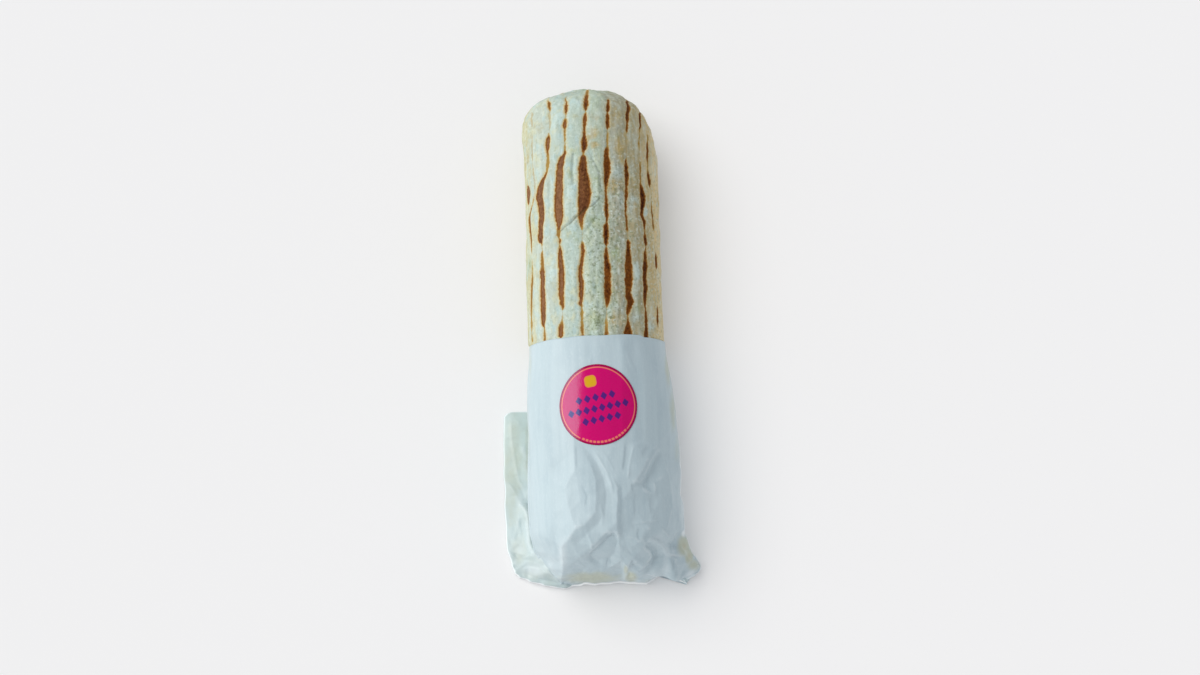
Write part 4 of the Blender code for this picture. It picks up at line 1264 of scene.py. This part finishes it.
# The bag: its smooth form, bent flat between the corners of the crease map, with finer facets,
# ripples, crumples and single folds along its normals.
def makeBagShape():
    y, angle = np.meshgrid(bagRings, bagAngles, indexing="ij")
    length = np.repeat(bagLengths[:, None], bag["around"], 1)
    base, normal = bagPoints(angle, y), bagNormals(angle, y)
    across = angle * bag["domain"]

    # every grid point takes the plane of its triangle of the crease map
    corners, lifts, triangles = creaseMap()
    print("the bag's crease map has", len(corners), "corners and", len(triangles), "facets")
    cornerAngle = corners[:, 0] / bag["domain"]
    cornerY = np.interp(np.clip(corners[:, 1], 0.0, curveLength[-1]), curveLength, curveY)
    loose = smoothStep(*bag["crumples"], cornerY)
    lifts = lifts + ((lifts - bag["middleLift"]) * bag["crumple"] - lifts) * loose
    cornerPoint = bagPoints(cornerAngle, cornerY) + bagNormals(cornerAngle, cornerY) * lifts[:, None]
    blended = overFacets(corners, triangles, np.column_stack([cornerPoint, lifts]), across, length)
    flat, lift = blended[..., :3], blended[..., 3]

    # taut near the mouth and on the left, in flat facets towards the fold
    grown = {k: smoothStep(*bag[k], length) for k in bag if k.endswith("From")}
    right, left = bag["tautAcross"]
    taut = smoothStep(*right, across) * smoothStep(*left, across) * smoothStep(*bag["tautUpTo"], length)
    least, more = bag["facets"]
    lessFlat, lessFine = bag["tautShares"]
    facets = (least + more * grown["flatFrom"]) * (1.0 - lessFlat * taut)
    smooth = base + normal * (lift * (0.45 + 0.55 * grown["liftFrom"]))[..., None]
    edge = smoothStep(0.0, 5.0, length)
    points = smooth + (flat - smooth) * facets[..., None]
    points = base + (points - base) * edge[..., None]
    soft = bag["softness"] / 2
    points[1:-1] = points[1:-1] * (1 - 2 * soft) + (points[:-2] + points[2:]) * soft
    points = points * (1 - 2 * soft) + (np.roll(points, 1, 1) + np.roll(points, -1, 1)) * soft

    # the facets are uneven themselves: a finer crease map over the loose paper
    fine = fineCreases(across, length) * grown["fineFrom"] * (1.0 - lessFine * taut)
    points += normal * (fine * edge)[..., None]

    # long soft ripples from the mouth, small crumples towards the fold, and the single folds
    height, size, stretch = bag["ripple"]
    unrolled = np.stack([across, length * stretch, 0 * across], -1)
    ripple = height * layeredNoise(unrolled, size, 61, 2)
    height, size = bag["smallCrumple"]
    crumple = height * np.abs(layeredNoise(base, size, 71)) * grown["crumpleFrom"]
    column, row = photoPixels(points)
    shown = smoothStep(1.7, 1.5, np.abs(angle))
    foldAngle, foldHeight, foldWidth = bag["sideFold"]
    side = np.exp(-(((np.abs(angle) - foldAngle) / foldWidth) ** 2)) * grown["sideFoldFrom"]
    stand = ripple + crumple + foldRelief(folds, column, row) * shown + foldHeight * side
    points += normal * (stand * edge)[..., None]
    keepOffRoll(points)

    # creased and highlit: where the paper stands off its surroundings, it is bent sharply and whitened; the fold's
    # last rings and the right side fold are painted white as painted highlights, and the crushed spots add
    # whitening and painted highlights
    stand = ((points - base) * normal).sum(-1)
    around = np.roll(stand, 3, 1) + np.roll(stand, -3, 1)
    around[3:-3] = (around[3:-3] + stand[6:] + stand[:-6]) / 2
    creased = smoothStep(*bag["creaseStand"], 2 * stand - around) * edge * grown["whiteFrom"]
    creased = creased * bag["creaseWhite"]
    creased = np.maximum(creased, smoothStep(0.9, 0.1, length[-1, 0] - length) * shown)
    creased = np.maximum(creased, side * (angle > 0))
    creased = np.maximum(creased, spotField(crushedAndHighlightSpots, column, row) * shown)
    # oil tint, with painted shade in the notch and on the lower right ear
    oiled = spotField(oilAndShadeSpots, column, row) * shown + bag["hiddenOil"] * (1.0 - shown)
    # painted highlight: the folded edge's rings are painted white down to the table
    foldHighlightRings = np.array(bag["foldPaintedHighlight"])[:, None] * (np.abs(bagAngles) < 1.65)

    closing = closeFold(points)
    skin = innerSkin(points[0])
    rings = np.array(skin + list(points) + closing)
    unmarked = np.zeros((len(skin), bag["around"]))
    oiledAndShadedFold = np.repeat(oiled[-1:], len(closing), 0)
    fields = {
        "creased": np.concatenate([unmarked, creased, foldHighlightRings]),
        "oiled": np.concatenate([unmarked, oiled, oiledAndShadedFold]),
        "lying": np.zeros(rings.shape[:2]),
    }
    return points, rings, fields


# Greaseproof paper, beaten to a dense smooth sheet: a cool white with a satin skin, cloudy where the fibres lie
# thicker, whiter along sharp creases and yellower where oil has soaked in. Its white rims, folded edge and lit
# crumples are painted highlights, and its darker olive in the notch and on the lower right ear is painted shade. A
# single sheet of it that lies on the white table lets the table show through, so it is paler; its upper part is
# paler still, as painted light.
paperFinish = {
    "white": "#bdcfd5",
    "thick": "#c9d9de",
    "thin": "#b0c4cc",
    "oil": "#bdc4b0",
    # the darkest tint: soaked oil, and painted shade on the ear and in the notch
    "soakedAndShaded": "#b3ab86",
    # bleached and highlit: crease whitening and painted highlights; edge: the brightest painted highlight, on the
    # folded edge and the rims
    "bleachedAndHighlit": "#eef6f8",
    "edge": "#fdffff",
    # paler where a single sheet lies on the table, and partly painted light on the flap's upper part
    "backedAndPaintedLight": "#cbdcd8",
    # noises: grain size in mm, detail, and how each axis is stretched
    "grains": {
        "clouds": (9.0, 3.0, (1.0, 0.5, 1.0)),
        "streaks": (2.6, 2.0, (1.0, 0.05, 1.0)),
        "fibres": (0.7, 4.0, (1.0, 0.4, 1.0)),
        "seep": (5.0, 3.0, (1.0, 0.7, 1.0)),
    },
    "surface": {"Roughness": 0.42, "Specular IOR Level": 0.35},
}


def makePaperMaterial():
    finish = paperFinish
    name, fields = "white greaseproof paper", ("creased", "oiled", "lying")
    material, _, field, grain = startMaterial(name, fields, finish["grains"])
    links = {0: grain["seep"], 1: 0.5, 2: field["oiled"]}
    seep = addNode(material, "Math", {"operation": "MULTIPLY_ADD"}, links)
    layers = [
        (grain["clouds"], 0.45, 0.65, 0.35, finish["thin"]),
        (grain["streaks"], 0.45, 0.60, 0.20, finish["thick"]),
        (grain["streaks"], 0.45, 0.35, 0.15, finish["thin"]),
        (grain["fibres"], 0.50, 0.70, 0.35, finish["thick"]),
        (field["lying"], 0.0, 1.0, 0.85, finish["backedAndPaintedLight"]),
        (seep, 0.45, 1.20, 0.9, finish["oil"]),
        (seep, 1.25, 1.80, 0.75, finish["soakedAndShaded"]),
        # whitened creases, and painted highlights on the rims, the folded edge and the crumples
        (field["creased"], 0.0, 1.0, 0.90, finish["bleachedAndHighlit"]),
        (field["creased"], 1.1, 1.5, 1.00, finish["edge"]),
    ]
    links = {"Strength": 0.25, "Distance": 0.15 * mm, "Height": grain["fibres"]}
    bump = addNode(material, "Bump", None, links)
    return finishMaterial(material, finish["white"], layers, bump, finish["surface"])


paper = makePaperMaterial()
bagGrid, bagRows, bagFields = makeBagShape()
addPiece("paper_bag_tube", bagRows, bagFields, paper, "paper_bag", "greaseproof_paper", inset=9.0)


# The bag's folded tail, flat on the table under the roll. It shows as a flap on the left. Its
# sides follow stations, each a y and how far the edge stands out, in mm.
tail = {
    "around": 240,
    "rings": 190,
    "left": [
        (-33.2, 44.6), (-33.9, 46.4), (-35.6, 47.6), (-55, 48.2), (-80, 48.5), (-100, 47.9),
        (-108, 45.8), (-112, 44.4), (-114, 42.6), (-116, 38.0), (-118.2, 31.5), (-119.6, 26.0),
        (-120.4, 21.0),
    ],
    "right": [(-33.2, 26.0), (-35, 32.0), (-100, 33.0), (-108, 40.0), (-112, 43.0), (-120.4, 24.0)],
    "startY": -33.2,
    "endY": -120.4,
    "thickness": 1.8,
    "foot": 0.5,  # mm, the height at which its edges turn over
    "turnOver": 1.1,  # mm, how far in from the edge they do
    "lies": (1.2, 2.0),  # mm, paper lower than this lies flat on the table
    # each of these as mm high and mm across
    "uneven": (0.25, 7.0),
    "crushed": (0.9, 6.5),  # near the fold
    "wave": (0.35, 8.0),  # of its long edges
    "endWave": (0.3, 7.0),  # of its ends
    "crushedFrom": (-88.0, -98.0),  # y
    # under the tube's fold its end is drawn in: mm, and the x and y over which it starts
    "drawnIn": 7.0,
    "drawnInX": (-20.0, -8.0),
    "drawnInY": (-95.0, -117.0),
}

# Corners of the tail's creases: the photograph's column and row, and the height in mm. Then
# single corners, and single folds as the bag has.
tailCreases = [
    [(511, 414, 1.7), (511, 428, 2.0), (512, 445, 2.1), (514, 462, 2.2), (518, 481, 2.4),
     (522, 494, 2.9), (525, 503, 3.6)],
    [(520, 503, 3.4), (518, 520, 3.3), (516, 540, 3.4), (513, 552, 2.8)],
    [(508, 545, 2.0), (514, 557, 3.0), (521, 561, 4.0), (529, 556, 7.4), (534, 552, 11.0)],
    [(527, 567, 5.0), (536, 570, 6.0), (545, 573, 8.0), (557, 577, 8.4)],
]
tailSpots = [
    (505, 420, 1.3), (505, 450, 1.4), (506, 480, 1.5), (507, 520, 1.5), (520, 425, 2.3),
    (523, 445, 2.7), (526, 470, 3.1), (532, 440, 2.8), (534, 480, 3.4), (527, 512, 6.5),
    (523, 525, 4.2), (529, 530, 8.5), (524, 541, 4.8), (531, 544, 10.0), (538, 563, 9.4),
    (541, 558, 12.4), (549, 565, 13.0), (548, 570, 12.4), (554, 575, 11.2), (535, 576, 3.0),
    (551, 580, 4.0), (518, 569, 2.4), (524, 573, 2.4), (542, 579, 3.2), (561, 583, 4.0),
]
tailFolds = [
    (0.16, 0.5, 0.0, [(510.5, 414), (511.5, 430), (513, 446), (516, 466), (520, 482), (523, 492)]),
    (0.2, 0.5, 0.0, [(523, 496), (520, 506), (518, 520), (516, 534), (514, 544)]),
    (0.2, 0.5, 2.5, [(517, 484), (521, 494), (525, 503)]),
    (0.3, 0.5, 2.5, [(521, 508), (520, 522), (522, 534), (527, 544)]),
    (0.35, 0.5, 0.0, [(526, 537), (529, 544), (533, 551)]),
    (0.35, 0.6, 3.0, [(511, 553), (519, 560), (527, 557), (533, 552)]),
    (0.35, 0.6, 3.0, [(519, 571), (530, 567), (540, 569), (550, 575)]),
    (0.25, 0.6, 0.0, [(513, 563), (520, 567), (527, 563)]),
    (0.15, 0.7, 2.5, [(506, 520), (507, 535), (510, 548)]),
]
# Corners all round the tail, beyond its edges, as x and y in mm.
tailOutside = [
    (-60, -20), (60, -20), (60, -130), (-60, -130), (-60, -60), (-60, -95), (0, -130), (0, -20),
]


# Heights of the tail's top over x and y: planes between the corners of its creases.
def tailHeights(x, y):
    rng = np.random.default_rng(23)
    spots, edges = [], []
    for chain in tailCreases + [[spot] for spot in tailSpots]:
        first = len(spots)
        spots += chain
        edges += [(k, k + 1) for k in range(first, len(spots) - 1)]
    spots = np.array(spots, float)
    place, rays = photoRays(spots[:, :2])
    t = (spots[:, 2] - place[2]) / rays[:, 2]
    seen = np.column_stack([place[0] + rays[:, 0] * t, place[1] + rays[:, 1] * t])
    corners, heights = seen.tolist(), spots[:, 2].tolist()
    for across in np.arange(-27.0, 48.0, 9.0):
        for down in np.arange(-36.0, -118.0, -9.0):
            corner = [across + rng.uniform(-3, 3), down + rng.uniform(-3, 3)]
            height = tail["thickness"] + rng.uniform(-0.5, 0.3)
            if np.hypot(*(seen - corner).T).min() > 9.0:
                corners.append(corner)
                heights.append(height)
    corners += tailOutside
    heights += [1.2] * len(tailOutside)
    corners, heights, triangles = joinCorners(corners, heights, edges, 3.0)
    return overFacets(corners * [1.0, -1.0], triangles, heights[:, None], x, -y)[..., 0]


# The tail: a flat closed form whose angle runs over its top and back under it, with even steps
# across t as 1 - (1 - t)^1.25, tight where both edges turn over.
def makeTailShape():
    s = np.linspace(0.0, 1.0, tail["rings"])
    ys = tail["startY"] + (tail["endY"] - tail["startY"]) * (s - 0.02 * np.sin(2 * math.pi * s))
    y, angle = np.meshgrid(ys, anglesAround(tail["around"], 0.0), indexing="ij")
    upper = np.abs(angle) < math.pi / 2
    across = np.where(upper, angle, np.sign(angle) * math.pi - angle) / (math.pi / 2)
    left, right = along(tail["left"], y), along(tail["right"], y)
    x = np.where(across > 0, right, left) * np.sign(across) * (1 - (1 - np.abs(across)) ** 1.25)
    height = tailHeights(x, y)
    level = np.stack([x, y, 0 * x], -1)
    high, size = tail["uneven"]
    uneven = high * np.abs(layeredNoise(level, size, 81))
    height = height + uneven * smoothStep(*tail["lies"], height)
    crushed = smoothStep(*tail["crushedFrom"], y) * smoothStep(*tail["lies"], height)
    high, size = tail["crushed"]
    height = height + high * np.abs(layeredNoise(level, size, 82, 2)) * crushed
    column, row = photoPixels(np.stack([x, y, height], -1))
    height = height + foldRelief(tailFolds, column, row) * smoothStep(1.0, 1.6, height)

    # how far each point is from the edge, and how far it has turned over there
    lean = np.hypot(1.0, np.gradient(left[:, 0], ys))[:, None]  # where the left edge runs aslant
    ends = np.minimum(tail["startY"] - y, y - tail["endY"]) + 0.3
    rim = np.minimum(np.minimum((left + x) / lean, right - x), ends)
    turned = np.sqrt(np.clip(1.0 - (1.0 - np.clip(rim / tail["turnOver"], 0, 1)) ** 2, 0, 1))
    foot = tail["foot"]
    z = np.where(upper, foot + (height - foot) * turned, foot - 0.48 * turned)
    high, size = tail["wave"]
    wave = high * latticeNoise(level * [0, 1, 0], size, 83) * np.sign(x)
    high, size = tail["endWave"]
    waveY = high * latticeNoise(level * [1, 0, 0], size, 85)
    drawnIn = tail["drawnIn"] * smoothStep(*tail["drawnInX"], x) * smoothStep(*tail["drawnInY"], y)
    points = np.stack([x + wave, y + drawnIn + waveY, z], -1)

    stand = 2 * height - np.roll(height, 3, 1) - np.roll(height, -3, 1)
    # the tail's rims are painted white, more so towards the fold, as a painted highlight
    edge = smoothStep(0.8, 0.3, rim) * (0.9 + 0.7 * smoothStep(-60.0, -100.0, y + drawnIn))
    creased = np.maximum(bag["creaseWhite"] * smoothStep(*bag["creaseStand"], stand), edge)
    creased = np.maximum(creased, spotField(crushedAndHighlightSpots, column, row)) * upper
    # paler where it lies on the table, fully on its upper part beside the tube: partly painted light
    lying = (0.5 + 0.5 * smoothStep(-72.0, -60.0, y + drawnIn)) * upper
    oiled = np.maximum(spotField(oilAndShadeSpots, column, row), bag["hiddenOil"])
    return points, {"creased": creased, "oiled": oiled, "lying": lying}


addPiece("paper_bag_tail", *makeTailShape(), paper, "paper_bag", "greaseproof_paper")


# The round label. Lengths are in mm.
label = {
    "radius": 18.45,
    "centreX": -0.6,
    "centreY": -36.0,
    "thickness": 0.14,
    "gap": 0.08,
    "rings": 80,
    "underRings": 8,
    "spokes": 300,
    # the print, in mm from the sticker's middle: rows of diamonds that rise to the right
    "tilt": 10.0,  # degrees
    "rows": [(-1.0, 3.6, 15.6, 5), (0.1, -1.4, 25.6, 8), (1.5, -6.3, 15.0, 5)],  # middle, span, shapes
    "diamond": (1.62, 1.95),  # half its width and height
    "badge": (-3.2, 11.0, 2.8, 2.6),  # middle, half its width and height
    "badgeCorner": 1.75,
    "ringRadius": 17.15,
    "ringWidth": 0.5,
    "dashes": (-28.0, 47.0, 1.75),  # degrees from the lowest point, and mm from dash to dash
    "dash": (0.62, 0.5, 0.2),  # half its length and width, and how far in from the ring
}


# Points of the bag's finished grid at any angle and y, blended between its four neighbours.
def onBag(angle, y):
    column = np.interp(angle, bagAngles, np.arange(len(bagAngles)))
    row = np.interp(-y, -bagRings, np.arange(len(bagRings)))
    i, j = np.floor(row).astype(int), np.floor(column).astype(int)
    i = np.minimum(i, len(bagRings) - 2)
    u, v = (row - i)[..., None], (column - j)[..., None]
    j, beside = j % bag["around"], (j + 1) % bag["around"]
    upper = bagGrid[i, j] * (1 - v) + bagGrid[i, beside] * v
    lower = bagGrid[i + 1, j] * (1 - v) + bagGrid[i + 1, beside] * v
    return upper * (1 - u) + lower * u


# The angle at each arc length from the bag's top line, measured along its section at the label.
def bagAngle(arc):
    angles = np.linspace(-1.4, 1.4, 561)
    section = bagPoints(angles, np.full(angles.shape, label["centreY"]))
    steps = np.linalg.norm(np.diff(section, axis=0), axis=1)
    lengths = np.concatenate([[0.0], np.cumsum(steps)])
    return np.interp(arc, lengths - lengths[len(angles) // 2], angles)


# How far each place is inside a rounded box, in mm: the usual signed distance, turned round.
def insideBox(across, up, x, y, halfWidth, halfHeight, corner):
    qx = np.abs(across - x) - halfWidth + corner
    qy = np.abs(up - y) - halfHeight + corner
    outside = np.hypot(np.maximum(qx, 0.0), np.maximum(qy, 0.0))
    return corner - outside - np.minimum(np.maximum(qx, qy), 0.0)


# A place on the sticker, as read along and across the print's tilted rows.
def tilted(across, up):
    tilt = math.radians(label["tilt"])
    return across * math.cos(tilt) + up * math.sin(tilt), up * math.cos(tilt) - across * math.sin(tilt)


# The print's three inks, each as the distance inside its shapes.
def printFields(across, up):
    reading, over = tilted(across, up)
    width, height = label["diamond"]
    violet = np.full(across.shape, -9.0)
    for x, y, span, count in label["rows"]:
        x, y = tilted(x, y)
        for k in range(count):
            place = x + span * (k / (count - 1) - 0.5)
            shape = 1.0 - np.abs(reading - place) / width - np.abs(over - y) / height
            violet = np.maximum(violet, shape)
    x, y, halfWidth, halfHeight = label["badge"]
    yellow = insideBox(reading, over, *tilted(x, y), halfWidth, halfHeight, label["badgeCorner"])
    turn = np.degrees(np.arctan2(across, -up))
    fromRing = np.hypot(across, up) - label["ringRadius"]
    first, last, pitch = label["dashes"]
    beside = np.maximum(first - turn, turn - last) * math.radians(label["ringRadius"])
    ring = np.minimum(label["ringWidth"] / 2 - np.abs(fromRing), beside - 0.6)
    step = (turn - first) * math.radians(label["ringRadius"]) % pitch - pitch / 2
    halfLength, halfHeight, inwards = label["dash"]
    dash = np.minimum(halfHeight - np.abs(fromRing + inwards), halfLength - np.abs(step))
    return {"violet": violet, "yellow": yellow, "peach": np.maximum(ring, np.minimum(dash, -beside))}


# A round sticker laid over the paper: each point lies as far from the centre, over the curve,
# as it would on the flat sticker.
def makeLabelShape():
    radii = label["radius"] * (np.arange(1, label["rings"] + 1) / label["rings"]) ** 0.85
    under = radii[:: -(label["rings"] // label["underRings"])]
    turns = 2 * math.pi * np.arange(label["spokes"]) / label["spokes"]
    radius, turn = np.meshgrid(np.concatenate([radii, under]), turns, indexing="ij")
    across, up = radius * np.sin(turn), radius * np.cos(turn)
    angle, y = bagAngle(label["centreX"] + across), label["centreY"] + up
    acrossStep = onBag(angle + 0.015, y) - onBag(angle - 0.015, y)
    alongStep = onBag(angle, y + 0.5) - onBag(angle, y - 0.5)
    normal = np.cross(acrossStep, alongStep)
    normal /= np.linalg.norm(normal, axis=-1, keepdims=True)
    lift = np.full(radius.shape, label["gap"])
    lift[: label["rings"]] += label["thickness"]
    points = onBag(angle, y) + normal * lift[..., None]
    return points, {**printFields(across, up), "fromMiddle": radius}


# Coated sticker paper, printed in flat inks and varnished: a clear film over the colour gives
# it a soft gleam, a little bluish.
labelFinish = {
    "magenta": "#d6006e",
    # rim: a darker magenta, painted shade towards the sticker's outer edge; it also tints the ink's unevenness
    "rim": "#a8044c",
    "violet": "#4f2480",
    "yellow": "#dcac1c",
    "yellowEdge": "#e39a35",
    "peach": "#ee8468",
    "grains": {"ink": (0.5, 3.0, (1.0, 1.0, 1.0))},  # mm, unevenness of the ink
    "surface": {"Roughness": 0.19, "IOR": 1.62, "Specular Tint": "#98f4ff"},
}


def makeLabelMaterial():
    finish = labelFinish
    name, fields = "varnished printed sticker paper", ("violet", "yellow", "peach", "fromMiddle")
    material, _, field, grain = startMaterial(name, fields, finish["grains"])
    layers = [
        # painted shade: the sticker darkens towards its outer rim
        (field["fromMiddle"], 17.3, 17.9, 1.0, finish["rim"]),
        (grain["ink"], 0.35, 0.75, 0.15, finish["rim"]),
        (field["violet"], -0.10, 0.10, 0.96, finish["violet"]),
        (field["yellow"], -0.10, 0.10, 1.0, finish["yellowEdge"]),
        (field["yellow"], 0.35, 0.70, 1.0, finish["yellow"]),
        (field["peach"], -0.10, 0.10, 0.95, finish["peach"]),
    ]
    links = {"Strength": 0.08, "Distance": 0.1 * mm, "Height": grain["ink"]}
    bump = addNode(material, "Bump", None, links)
    return finishMaterial(material, finish["magenta"], layers, bump, finish["surface"])


addPiece("printed_label", *makeLabelShape(), makeLabelMaterial(), "round_label", "printed_label")
